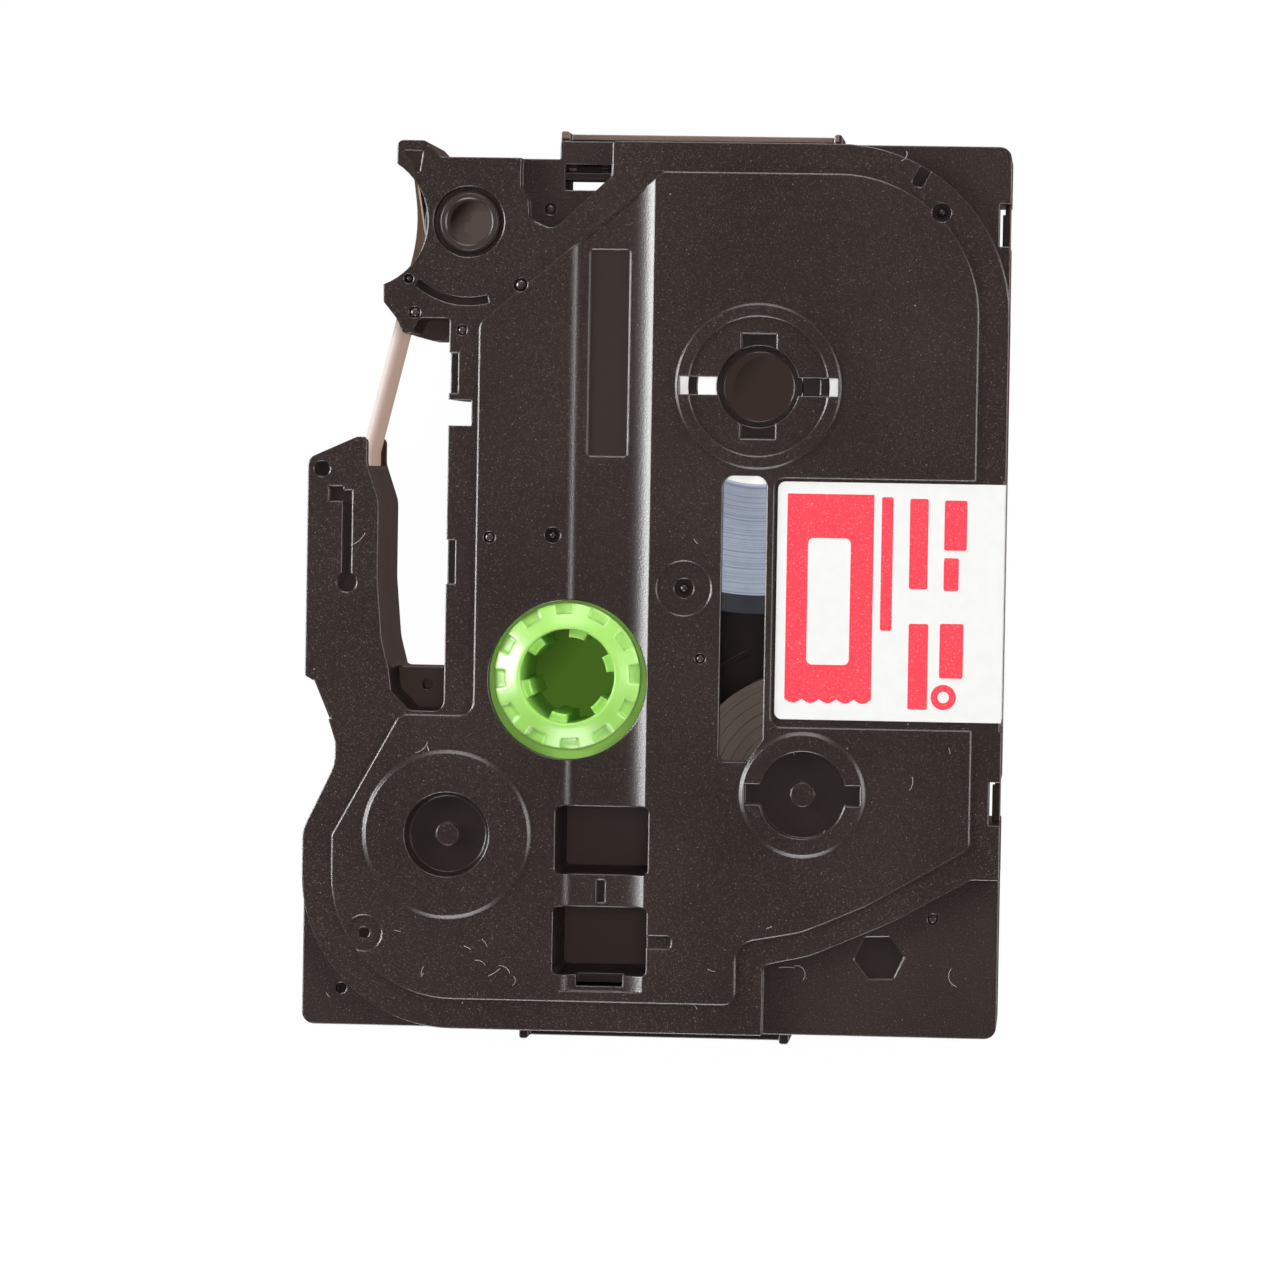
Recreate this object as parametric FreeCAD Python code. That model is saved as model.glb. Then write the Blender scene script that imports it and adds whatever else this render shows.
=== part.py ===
import FreeCAD, Part
import math
import os

# Label tape cassette: two moulded shells round four reels, a drive roller and three thin runs.
# Millimetres. +Z points out of the labelled face, +Y towards the roller head, -X towards the
# tape arm. The origin is under the middle of the case, on the plane that it lies on.

Vec = FreeCAD.Vector
UP = Vec(0, 0, 1)

# Case: levels, from the resting face up
FLOOR = 1.4
CORNER_LOW = 2.0
WELL_FLOOR_LOW = 2.2
WELL_FLOOR_TOP = 3.4
PARTING = 7.5
CORNER_HIGH = 14.0
ROOF = 1.4
OUTER_HIGH = 15.6
PLATEAU_RISE = 0.4
CHANNEL_DEPTH = 0.65
NAME_RECESS_DEPTH = 0.3
CAVITY_LOW = FLOOR
CAVITY_HIGH = OUTER_HIGH - ROOF
PLATEAU_HIGH = OUTER_HIGH + PLATEAU_RISE
OVERSHOOT = 1.0

# Case: plan
HALF_WIDTH = 30.45
LEFT = -HALF_WIDTH
RIGHT = HALF_WIDTH
FAR_SIDE = 39.0
NEAR_SIDE = -38.65
SIDE_CORNER_R = 1.1
WALL = 1.0
RIB = 0.8
RIDGE_PROUD = 0.9
LEDGE_PROUD = 0.75
LEDGE_LOW = 5.9
LEDGE_HIGH = 11.5
RIDGE_HIGH = 13.6
FAR_CORNER_R = 14.9
NEAR_CORNER_R = 13.35
PLATEAU_INSET = 2.65

# Head gap, arm and roller head
GAP_RIGHT = LEFT + 12.25
GAP_NEAR_END = -7.3
HEAD_FAR = 37.43
HORN_LEFT = LEFT + 7.41
LOWER_HORN_LEFT = LEFT + 6.37
PLATEN_CENTRE = (LEFT + 4.27, 31.78)
PLATEN_R = 5.91

# Hidden and shown shafts: where each reel turns
DRIVE_AXIS = (LEFT + 13.78, 31.82)
TAKE_UP_AXIS = (LEFT + 23.05, -7.62)
TAKE_UP_HOLE = (LEFT + 23.07, -7.94)
RIBBON_AXIS = (LEFT + 12.71, -21.64)
BASE_AXIS = (8.83, 17.87)
FILM_AXIS = (13.27, -17.57)
GUIDE_AXIS = (LEFT + 5.56, -30.42)

# Fits
RUN_CLEAR = 0.05
SIDE_CLEAR = 0.1
SHELL_CLEAR = 0.05
LOOSE_CLEAR = 0.4

# Tape, film and ribbon
TAPE_WIDTH = 12.0
TAPE_SIDE_GAP = 0.4
TAPE_LOW = FLOOR + TAPE_SIDE_GAP
TAPE_HIGH = TAPE_LOW + TAPE_WIDTH
BASE_TAPE_T = 0.14
FILM_T = 0.12
RIBBON_T = 0.10
LAYER_GAP = 0.03
ROLL_GAP = 0.12

# Reels
DRIVE_R = 4.0
DRIVE_JOURNAL_R = 2.7
DRIVE_BORE_R = 1.95
DRIVE_RIB_COUNT = 6
DRIVE_RIB_H = 0.45
DRIVE_RIB_W = 0.7
DRIVE_RIB_SINK = 6.0
BASE_ROLL_ROOM = 1.93
BASE_SPOOL_R = 8.5
BASE_BOSS_R = 3.75
BASE_SPACER_T = 0.1
BASE_SPACER_OVER = 1.6
SPACER_GAP = 0.05
FILM_ROLL_ROOM = 1.2
FILM_WELL_ROOM = 1.94
FILM_SPOOL_R = 5.2
FILM_BOSS_R = 2.6
RIBBON_ROLL_R = 6.3
RIBBON_SPOOL_R = 4.6
RIBBON_BOSS_R = 2.6
BOSS_WALL = 0.75
GUIDE_R = 1.5
GUIDE_PIN_R = 0.8
TAKE_UP_BARREL_R = 5.7
TAKE_UP_ROLL_R = 6.5
TAKE_UP_RING_R = 6.37
TAKE_UP_HOLE_R = 6.95
TAKE_UP_FLANGE_R = 7.7
TAKE_UP_FLANGE_T = 0.5
FLANGE_HIGH = TAPE_HIGH + 0.1 + TAKE_UP_FLANGE_T
TAKE_UP_BORE_R = 4.1
TAKE_UP_JOURNAL_R = 4.9
TAKE_UP_PROUD = 0.1
NOTCH_COUNT = 12
NOTCH_DEEP = 0.4
NOTCH_INNER_R = 5.43
NOTCH_FIRST_DEG = 93.0
SPLINE_COUNT = 6
SPLINE_H = 0.72
SPLINE_DEG = 23.0
SPLINE_SINK = 1.1
SPLINE_FIRST_DEG = 18.0
RING_TAPER = 0.25
SPRING_WIRE_R = 0.2
SPRING_TURNS = 3
SPRING_TAIL = 3.2
SPRING_TAIL_DEG = 200.0
SPRING_SEAT_R = 5.65
SPRING_SEAT_DEPTH = 0.5

# Sunk band down the labelled face, and what lies in it
CHANNEL_LEFT = LEFT + 22.25
CHANNEL_RIGHT = LEFT + 30.05
CHANNEL_LEFT_SLOPE = 1.9
CHANNEL_RIGHT_SLOPE = 2.2
CHANNEL_NEAR_END = -35.1
NAME_BOX = (LEFT + 24.4, 11.56, LEFT + 27.93, 29.60)
WELL_A_BOX = (LEFT + 22.21, -24.88, LEFT + 30.38, -18.94)
WELL_B_BOX = (LEFT + 22.14, -33.69, LEFT + 30.36, -27.72)
WELL_B_NOTCH = (LEFT + 24.19, -34.67, LEFT + 28.26, -33.0)
WELL_CORNER_R = 0.5
BRIDGE_SLOT = (LEFT + 25.86, -27.38, LEFT + 26.61, -25.35)
BRIDGE_SLOT_DEPTH = 0.4

# Label and its seat
LABEL_T = 0.12
LABEL_BOX = (10.7, -11.0, 9.66)
LABEL_SEAT_BOX = (10.36, -11.74, 9.97)
LABEL_CORNER_R = 0.66
LABEL_DROP = 11.0
LABEL_SIDE_SEAT = 0.2

# Sight window over the two tape reels
SIGHT_BOX = (5.88, -14.81, 9.75, 10.07)
SIGHT_CORNER_R = 0.9
SIGHT_CHAMFER = (1.4, 2.0)

# Where the strip leaves the arm, leans across the gap and ends, and where the ribbon parts from it
EXIT_BEND = (LEFT + 4.59, 11.6)
STRIP_LEAN = 0.2435
TAPE_CURL_R = 14.0
MOUTH = (LEFT + 8.4, 38.6)
MOUTH_SLOT = (LEFT + 7.85, 36.0, LEFT + 9.15, 40.0)
SEPARATION_Y = 24.95
RIBBON_POST_CORNER = (LEFT + 4.85, -8.0)
POST_R = 0.8
RIBBON_POST_R = 0.45
LANE_HALF = 0.45
TURN_GROOVE = 0.06
FILM_RIB_OVER = 2.8
CORNER_WALL = 1.2
BOSS_HIGH = CAVITY_HIGH - 0.3
HUB_RISE = 0.3
HUB_SINK = 1.3
DISC_MARK = (LEFT + 33.09, 0.22)
POCKET_HOLE = (LEFT + 9.88, -8.86)

DISC_MARK_R = 2.4
DISC_MARK_HOLE_R = 0.85
DISC_MARK_PIN_R = 0.4
GUIDE_DIMPLE_R = 1.6
HEAD_GROOVE_R = (6.6, 7.3)
HEAD_GROOVE_DEG = (-102.5, 55.0)
RIBBON_TURN = (LEFT + 13, 24.55)
RIBBON_RETURN = (LEFT + 15.7, 18.0)
FAR_SLOT = (RIGHT - 7.7, 36.5)
FAR_SLOT_DEG = -27.0
CORNER_SIGHT = (RIGHT - 10.31, -31.77)
CORNER_SIGHT_DEG = -25.0
CORNER_SIGHT_DEPTH = 0.5

# Hubs on the labelled face
BASE_LAND_R = 7.17
BASE_LAND_INNER_R = 6.1
BASE_HUB_HOLE_R = 3.57
BASE_SLOT_HALF = (6.9, 0.78)
BASE_NOTCH_HALF = (1.55, 4.6)
BASE_BAR_R = (5.35, 6.15)
BASE_BAR_SINK = 0.9
BASE_NOTCH_SINK = 1.2
FILM_LAND_R = 5.46
FILM_SUNK_R = 3.81
FILM_SLOT_REACH = (3.6, 5.05)
FILM_SLOT_HALF = 0.9
FILM_STUD_R = 1.05
RIBBON_LAND_R = 7.35
RIBBON_SUNK_R = 3.35
RIBBON_SUNK_FLARE = 0.52
RIBBON_STUD_R = 1.0
HUB_STUD_SINK = 0.5
LAND_BEVEL = 0.25

# Boxes in plan: (x low, y low, x high, y high)
WHOLE = (-45.0, -50.0, 45.0, 50.0)
GAP_POCKET = (LEFT + 7.15, -11.2, GAP_RIGHT + 0.1, GAP_NEAR_END + 0.1)
HEAD_NUB = (LEFT + 8.25, 21.0, GAP_RIGHT + 0.1, 23.7)
BODY_NOTCH_Y = (14.05, 16.3)
BODY_NOTCH_IN = 2.0
BODY_NOTCH = (GAP_RIGHT - 0.8, BODY_NOTCH_Y[0], GAP_RIGHT + BODY_NOTCH_IN, BODY_NOTCH_Y[1])
CORNER_WINDOW = (LEFT + 21.99, 34.75, LEFT + 26.05, 37.0)
CORNER_WINDOW_DEPTH = 3.5
CORNER_WINDOW_FLOOR = 1.0
CORNER_WINDOW_BAR = (35.67, 36.3)
CORNER_WINDOW_BAR_SINK = 0.5
CORNER_WINDOW_SLOTS = (
    (LEFT + 22.35, 34.75, LEFT + 25.55, 35.67),
    (LEFT + 22.05, 36.6, LEFT + 22.7, 36.86),
    (LEFT + 24.85, 36.6, LEFT + 25.45, 36.86),
)
FLOOR_WINDOW = (LEFT + 21.15, 35.0, LEFT + 25.55, 37.0)
ARM_SQUARE = (LEFT + 1.85, 7.25, LEFT + 3.15, 8.64)
ARM_SLOT = (LEFT + 3.1, 0.6, LEFT + 3.95, 8.3)
ARM_EYE = (LEFT + 3.54, 0.22)
ARM_EYE_R = 0.9
ARM_RECESS_DEPTH = 0.5
GAP_SLOTS = ((16.85, 20.41), (0.2, 4.09))
WELL_B_TAIL = (WELL_B_BOX[2] - 0.1, -31.26, WELL_B_BOX[2] + 2.16, -30.1)
HORN_POCKET = ((LEFT + 7.83, 37.95), (LEFT + 9.7, 37.95), (LEFT + 9.35, 35.8))
HORN_POCKET_DEPTH = 0.6
ARM_STEP_LINE = ((LEFT + 0.63, -8.44), (LEFT + 2.13, -11.81))
FAR_RIDGES = ((LEFT + 21.55, LEFT + 22.35), (RIGHT - 15.48, RIGHT - 14.78))
NEAR_RIDGES = ((LEFT + 19.15, LEFT + 19.95), (RIGHT - 18.95, RIGHT - 18.1))

# Round marks on the labelled face: (x, y, hole radius, pin radius)
FACE_MARKS = (
    (RIGHT - 6, 33.16, 0.83, 0.40),
    (RIGHT - 5.69, -28.29, 0.47, 0.3),
    (LEFT + 3.42, -35.44, 0.47, 0.0),
    (LEFT + 34.62, -5.88, 0.45, 0.3),
    (LEFT + 21.57, 4.65, 0.68, 0.35),
    (LEFT + 18.4, 26.38, 0.60, 0.30),
    (LEFT + 20.76, 33.08, 0.50, 0.0),
    (LEFT + 8.58, 26.79, 0.42, 0.0),
    (LEFT + 9.16, 23.87, 0.50, 0.25),
    (LEFT + 13.32, 22.37, 0.45, 0.0),
    (LEFT + 16.05, 4.37, 0.50, 0.25),
    (LEFT + 1.25, 10.10, 0.70, 0.0),
)
MARK_DEPTH = 0.8
PIN_SINK = 0.15
JOINT_PINS = (
    (RIGHT - 6, 33.16),
    (LEFT + 17.85, -34.6),
    (RIGHT - 3.05, -14.2),
    (LEFT + 19.15, 9.4),
    (LEFT + 18.4, 26.38),
)
JOINT_PIN_R = 0.8
JOINT_POST_R = 1.6
JOINT_PIN_LENGTH = 3.0

# Underside: round holes that the machine's own pins enter
FAR_PIN_HOLE = (RIGHT - 2.95, FAR_SIDE - 2.95)
NEAR_PIN_HOLE = (LEFT + 2.75, NEAR_SIDE + 2.75)
PIN_HOLE_R = 1.5
PIN_HOLE_DEPTH = 4.0

# Latch notches in the long side opposite the arm: (lower y, upper y)
LATCH_DEPTH = 1.0
LATCHES = ((30.35, 34.08), (-19.92, -16.16))
LATCH_SLIT = 0.22
LATCH_SLIT_DRAFT = 0.2
LATCH_EYE = 0.7
LATCH_LOW = 4.5


def corner(x, y, r=0.0):
    """A corner of an outline and the radius that rounds it."""
    return (x, y, r)


def rounded_edges(corners, closed):
    """Straight edges and tangent arcs through a list of rounded corners."""
    count = len(corners)
    legs = []
    for i, (x, y, r) in enumerate(corners):
        here = Vec(x, y, 0)
        if r <= 0.0 or (not closed and i in (0, count - 1)):
            legs.append((here, None, here))
            continue
        before = Vec(*corners[i - 1][:2], 0) - here
        after = Vec(*corners[(i + 1) % count][:2], 0) - here
        half = before.getAngle(after) / 2.0
        reach = r / math.tan(half)
        bisector = (before.normalize() + after.normalize()).normalize()
        middle = here + bisector * (r / math.sin(half) - r)
        legs.append((here + before * reach, middle, here + after * reach))
    edges = []
    for i, (start, middle, end) in enumerate(legs):
        if middle is not None:
            edges.append(Part.Arc(start, middle, end).toShape())
        if not closed and i == count - 1:
            break
        following = legs[(i + 1) % count][0]
        if end.distanceToPoint(following) > 1e-6:
            edges.append(Part.makeLine(end, following))
    return edges


def rounded_face(corners):
    """A flat face inside a closed outline of rounded corners."""
    return Part.Face(Part.Wire(rounded_edges(corners, True)))


def prism(corners, low, high):
    """The outline of rounded corners, extruded between two levels."""
    face = rounded_face(corners)
    face.translate(Vec(0, 0, low))
    return face.extrude(Vec(0, 0, high - low))


def shrunk_prism(corners, inset, low, high):
    """The same outline moved inwards by inset, extruded between two levels."""
    face = rounded_face(corners).makeOffset2D(-inset)
    face.translate(Vec(0, 0, low))
    return face.extrude(Vec(0, 0, high - low))


def slab(box, low, high, r=0.0):
    """A block over (x low, y low, x high, y high), with rounded upright edges."""
    x0, y0, x1, y1 = box
    return prism([corner(x0, y0, r), corner(x1, y0, r), corner(x1, y1, r), corner(x0, y1, r)], low, high)


def centred_slab(centre, half, low, high, r=0.0):
    """A block about a centre in plan, given its half length and half width."""
    x, y = centre
    return slab((x - half[0], y - half[1], x + half[0], y + half[1]), low, high, r)


def grown(box, by):
    """A box moved outwards on all four sides."""
    x0, y0, x1, y1 = box
    return (x0 - by, y0 - by, x1 + by, y1 + by)


def disc(centre, r, low, high):
    """An upright cylinder."""
    return Part.makeCylinder(r, high - low, Vec(centre[0], centre[1], low), UP)


def ring(centre, outer, inner, low, high):
    """An upright tube."""
    return disc(centre, outer, low, high).cut(disc(centre, inner, low - OVERSHOOT, high + OVERSHOOT))


def sector(centre, inner, outer, middle_deg, width_deg, low, high):
    """A piece of a ring between two angles."""
    first = math.radians(middle_deg - width_deg / 2.0)
    last = math.radians(middle_deg + width_deg / 2.0)
    middle = math.radians(middle_deg)

    def at(r, angle):
        return Vec(centre[0] + r * math.cos(angle), centre[1] + r * math.sin(angle), low)

    edges = [
        Part.makeLine(at(inner, first), at(outer, first)),
        Part.Arc(at(outer, first), at(outer, middle), at(outer, last)).toShape(),
        Part.makeLine(at(outer, last), at(inner, last)),
        Part.Arc(at(inner, last), at(inner, middle), at(inner, first)).toShape(),
    ]
    return Part.Face(Part.Wire(edges)).extrude(Vec(0, 0, high - low))


def turned(centre, profile):
    """A solid of revolution from (radius, level) points, about an upright axis."""
    points = [Vec(r, 0, z) for r, z in profile]
    face = Part.Face(Part.makePolygon(points + [points[0]]))
    solid = face.revolve(Vec(0, 0, 0), UP, 360)
    solid.translate(Vec(centre[0], centre[1], 0))
    return solid


def placed(solid, centre, turn_deg):
    """A solid made about the origin, turned and moved to its place in plan."""
    solid.rotate(Vec(0, 0, 0), UP, turn_deg)
    solid.translate(Vec(centre[0], centre[1], 0))
    return solid


def seamless(solid):
    """The same solid with the seams in its flat and round faces removed, where that keeps it sound."""
    merged = solid.copy().removeSplitter()
    if merged.isValid() and abs(merged.Volume - solid.Volume) < 1e-3:
        return merged
    return solid


def joined(first, *others):
    """Solids fused one after another."""
    for other in others:
        first = first.fuse(other)
    return seamless(first)


def pierced(solid, cutters):
    """A solid with each cutter taken out of it in turn."""
    for cutter in cutters:
        solid = solid.cut(cutter)
    return solid


# Outlines

ARM_OUTLINE = [
    corner(LEFT + 7.35, GAP_NEAR_END, 0.9),
    corner(LEFT + 6.7, -4.8, 6.0),
    corner(LEFT + 6.25, 0.5, 10.0),
    corner(LEFT + 6.25, 7.3, 3.0),
    corner(LEFT + 5.15, 10.6, 2.0),
    corner(LEFT + 5.15, 12.95, 0.55),
    corner(LEFT + 4.3, 12.95, 0.7),
    corner(LEFT, 11.0, 1.0),
    corner(LEFT, -8.0, 0.4),
    corner(LEFT + 0.65, -8.35, 0.3),
    corner(LEFT + 2.2, -12.0, 0.4),
    corner(LEFT + 2.75, -13.7, 1.5),
    corner(LEFT + 2.75, -15.7, 4.0),
    corner(LEFT + 1.25, -18.9, 8.0),
]

HEAD_OUTLINE = [
    corner(LEFT + 11.19, HEAD_FAR, 0.3),
    corner(LEFT + 9.83, FAR_SIDE - 0.15, 0.4),
    corner(HORN_LEFT, FAR_SIDE - 0.15, 0.6),
    corner(HORN_LEFT, PLATEN_CENTRE[1] + 0.5),
    corner(LOWER_HORN_LEFT, PLATEN_CENTRE[1] - 0.5),
    corner(LOWER_HORN_LEFT, 24.8, 0.6),
    corner(LEFT + 7.55, 23.35, 0.5),
    corner(LEFT + 8.2, 22.0, 0.4),
]

BODY_LEFT_WALL = [
    corner(GAP_RIGHT, BODY_NOTCH_Y[1]),
    corner(GAP_RIGHT + BODY_NOTCH_IN, BODY_NOTCH_Y[1]),
    corner(GAP_RIGHT + BODY_NOTCH_IN, BODY_NOTCH_Y[0]),
    corner(GAP_RIGHT, BODY_NOTCH_Y[0]),
]

FULL_OUTLINE = [
    corner(LEFT, NEAR_SIDE, SIDE_CORNER_R),
    corner(RIGHT, NEAR_SIDE, SIDE_CORNER_R),
    corner(RIGHT, FAR_SIDE, SIDE_CORNER_R),
    corner(LEFT + 21.55, FAR_SIDE, 0.4),
    corner(LEFT + 21.55, HEAD_FAR),
] + HEAD_OUTLINE + [
    corner(LEFT + 9.95, 21.55, 0.3),
    corner(LEFT + 10.85, 21.55, 0.4),
    corner(LEFT + 11.75, 22.7, 0.3),
    corner(GAP_RIGHT, 22.8),
] + BODY_LEFT_WALL + [
    corner(GAP_RIGHT, GAP_NEAR_END, 1.0),
] + ARM_OUTLINE + [
    corner(LEFT, -21.5, 3.0),
]

RAISED_OUTLINE = [
    corner(LEFT, NEAR_SIDE, NEAR_CORNER_R),
    corner(RIGHT - 20.4, NEAR_SIDE),
    corner(RIGHT - 20.4, -32.5, 0.8),
    corner(RIGHT - 16.25, -31.6, 10.0),
    corner(RIGHT - 8.95, -28.4, 20.0),
    corner(RIGHT - 2.45, -24.69, 0.6),
    corner(RIGHT, -24.69),
    corner(RIGHT, FAR_SIDE, FAR_CORNER_R),
    corner(LEFT + 26.25, FAR_SIDE, 0.3),
    corner(LEFT + 26.25, 36.0, 0.5),
    corner(LEFT + 21.15, 31.2, 1.2),
    corner(LEFT + 19.05, 32.1, 0.8),
    corner(LEFT + 18.95, 33.8, 0.5),
    corner(LEFT + 18.27, 34.9, 0.3),
    corner(LEFT + 18.27, HEAD_FAR),
] + HEAD_OUTLINE + [
    corner(LEFT + 8.95, 22.05, 0.25),
    corner(LEFT + 9.55, 23.4, 0.7),
    corner(GAP_RIGHT, 23.4, 0.3),
] + BODY_LEFT_WALL + [
    corner(GAP_RIGHT, GAP_NEAR_END - 3.6, 0.9),
    corner(LEFT + 9.25, GAP_NEAR_END - 3.6, 0.8),
    corner(LEFT + 7.6, GAP_NEAR_END - 1.9, 0.4),
] + ARM_OUTLINE + [
    corner(LEFT, -21.5, 3.0),
]

PLATEAU_LEFT = LEFT + PLATEAU_INSET
PLATEAU_RIGHT = RIGHT - PLATEAU_INSET
PLATEAU_OUTLINE = [
    corner(PLATEAU_LEFT, NEAR_SIDE + PLATEAU_INSET, NEAR_CORNER_R - PLATEAU_INSET),
    corner(RIGHT - 22.8, NEAR_SIDE + PLATEAU_INSET, 1.0),
    corner(RIGHT - 22.8, -30.6, 1.8),
    corner(RIGHT - 16.95, -29.5, 8.0),
    corner(RIGHT - 11.45, -27.1, 14.0),
    corner(PLATEAU_RIGHT, -22.0, 0.9),
    corner(PLATEAU_RIGHT, FAR_SIDE - PLATEAU_INSET, FAR_CORNER_R - PLATEAU_INSET),
    corner(LEFT + 30.73, FAR_SIDE - PLATEAU_INSET, 0.6),
    corner(LEFT + 14.9, 23.0, 1.2),
    corner(LEFT + 14.9, -11.26, 1.3),
    corner(LEFT + 8.45, -11.26, 1.0),
    corner(PLATEAU_LEFT, -21.9, 0.5),
]


def room_round(axis):
    """How far the inside of the case reaches from an axis, to its nearest wall."""
    outline = Part.Wire(rounded_edges(RAISED_OUTLINE, True))
    return outline.distToShape(Part.Vertex(axis[0], axis[1], 0.0))[0] - WALL


# Full rolls fill the room round their axes
BASE_ROLL_R = room_round(BASE_AXIS) - BASE_ROLL_ROOM
FILM_ROLL_R = min(
    room_round(FILM_AXIS) - FILM_ROLL_ROOM,
    FILM_AXIS[0] - WELL_A_BOX[2] - RIB - FILM_WELL_ROOM,
)


# Runs of tape, film and ribbon: corners of the middle line, with the radius at each bend


def tangent_corner(before, centre, r, after, turn):
    """Where two straight runs meet that wrap a round thing: turn is 1 to the left, -1 to the right."""
    arriving = math.atan2(centre[1] - before[1], centre[0] - before[0])
    arriving -= turn * math.asin(r / math.dist(before, centre))
    leaving = math.atan2(after[1] - centre[1], after[0] - centre[0])
    leaving += turn * math.asin(r / math.dist(centre, after))
    ax, ay = math.cos(arriving), math.sin(arriving)
    bx, by = math.cos(leaving), math.sin(leaving)
    along = ((after[0] - before[0]) * by - (after[1] - before[1]) * bx) / (ax * by - ay * bx)
    return corner(before[0] + along * ax, before[1] + along * ay, r)


def bend_centre(path, index):
    """The centre of one rounded bend of a path."""
    x, y, r = path[index]
    here = Vec(x, y, 0)
    before = (Vec(*path[index - 1][:2], 0) - here).normalize()
    after = (Vec(*path[index + 1][:2], 0) - here).normalize()
    half = before.getAngle(after) / 2.0
    centre = here + (before + after).normalize() * (r / math.sin(half))
    return (centre.x, centre.y)


def offset_path(path, by):
    """A path moved sideways, to its left where by is positive. Its bends stay concentric."""
    moved = []
    last = len(path) - 1
    for i, (x, y, r) in enumerate(path):
        here = Vec(x, y, 0)
        arriving = (here - Vec(*path[max(i - 1, 0)][:2], 0)) if i > 0 else None
        leaving = (Vec(*path[min(i + 1, last)][:2], 0) - here) if i < last else None
        arriving = Vec(arriving or leaving).normalize()
        leaving = Vec(leaving or arriving).normalize()
        side = (UP.cross(arriving) + UP.cross(leaving)).normalize()
        stretch = by / side.dot(UP.cross(arriving))
        bend = r - by if arriving.cross(leaving).z > 0 else r + by
        rounded = r > 0.0 and 0 < i < last
        moved.append(corner(x + side.x * stretch, y + side.y * stretch, bend if rounded else 0.0))
    return moved


def strip(path, thickness, low, high):
    """A thin upright strip along a path of rounded bends."""
    left = offset_path(path, thickness / 2.0)
    right = offset_path(path, -thickness / 2.0)
    return prism(left + right[::-1], low, high)


POST_BEND_R = POST_R + LAYER_GAP + FILM_T / 2.0
GUIDE_BEND_R = GUIDE_R + LAYER_GAP + FILM_T / 2.0
BASE_BEND_R = DRIVE_R + LAYER_GAP + BASE_TAPE_T / 2.0
BRIDGE_Y = (WELL_A_BOX[1] + WELL_B_BOX[3]) / 2.0
FILM_LEAVES_Y = FILM_AXIS[1] - FILM_ROLL_R - ROLL_GAP - FILM_T / 2.0
LEFT_POST_X = WELL_A_BOX[0] - RIB - POST_R
RIGHT_POST_X = WELL_A_BOX[2] + RIB + POST_R


def strip_x(y):
    """How far to the side the strip across the head gap lies, at one place up the gap."""
    return EXIT_BEND[0] + STRIP_LEAN * (y - EXIT_BEND[1])


FILM_PATH = [
    corner(FILM_AXIS[0] - 0.9, FILM_LEAVES_Y),
    corner(RIGHT_POST_X, BRIDGE_Y, POST_BEND_R),
    corner(LEFT_POST_X, BRIDGE_Y, POST_BEND_R),
    tangent_corner((LEFT_POST_X, BRIDGE_Y), GUIDE_AXIS, GUIDE_BEND_R, EXIT_BEND, -1),
    corner(EXIT_BEND[0], EXIT_BEND[1], POST_BEND_R),
    corner(strip_x(31.2), 31.2, TAPE_CURL_R),
    corner(MOUTH[0], MOUTH[1]),
]

BASE_MOUTH = (MOUTH[0] + FILM_T / 2.0 + BASE_TAPE_T / 2.0 + LAYER_GAP, MOUTH[1])
BASE_LEAVES_R = BASE_ROLL_R + ROLL_GAP + BASE_TAPE_T / 2.0


def outer_tangent_start(centre, r, other, other_r):
    """Where a straight run leaves one wheel, to touch another on the same (left) side."""
    span = math.dist(centre, other)
    heading = math.atan2(other[1] - centre[1], other[0] - centre[0]) - math.asin((r - other_r) / span)
    return (centre[0] - r * math.sin(heading), centre[1] + r * math.cos(heading))


BASE_START = outer_tangent_start(BASE_AXIS, BASE_LEAVES_R, DRIVE_AXIS, BASE_BEND_R)
BASE_PATH = [
    corner(*BASE_START),
    tangent_corner(BASE_START, DRIVE_AXIS, BASE_BEND_R, BASE_MOUTH, -1),
    corner(*BASE_MOUTH),
]

RIBBON_SIDE = FILM_T / 2.0 + RIBBON_T / 2.0 + 2 * LAYER_GAP
RIBBON_BEND_R = RIBBON_POST_R + LAYER_GAP + RIBBON_T / 2.0
RIBBON_PATH = [
    corner(RIBBON_AXIS[0] - RIBBON_ROLL_R - ROLL_GAP - RIBBON_T / 2.0, RIBBON_AXIS[1]),
    corner(RIBBON_POST_CORNER[0], RIBBON_POST_CORNER[1], RIBBON_BEND_R),
    corner(EXIT_BEND[0] + RIBBON_SIDE, EXIT_BEND[1], POST_BEND_R),
    corner(strip_x(SEPARATION_Y) + RIBBON_SIDE, SEPARATION_Y, 0.5),
    corner(RIBBON_TURN[0], RIBBON_TURN[1], 0.6),
    corner(RIBBON_RETURN[0], RIBBON_RETURN[1], 1.0),
    corner(TAKE_UP_AXIS[0] - TAKE_UP_ROLL_R - ROLL_GAP - RIBBON_T / 2.0, TAKE_UP_AXIS[1]),
]


# Wound reels


def wound_roll(axis, inner, outer, grooves):
    """A roll of tape: one solid with shallow grooves between groups of turns on both ends."""
    pitch = (outer - inner) / (grooves + 1)
    groove = min(TURN_GROOVE, pitch / 3.0)
    top = []
    for i in range(1, grooves + 1):
        r = inner + i * pitch
        top.append((r - groove, TAPE_HIGH))
        top.append((r, TAPE_HIGH - groove))
        top.append((r + groove, TAPE_HIGH))
    bottom = [(r, TAPE_LOW + TAPE_HIGH - z) for r, z in reversed(top)]
    profile = [(inner, TAPE_LOW), (inner, TAPE_HIGH)] + top + [(outer, TAPE_HIGH), (outer, TAPE_LOW)] + bottom
    return turned(axis, profile)


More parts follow.
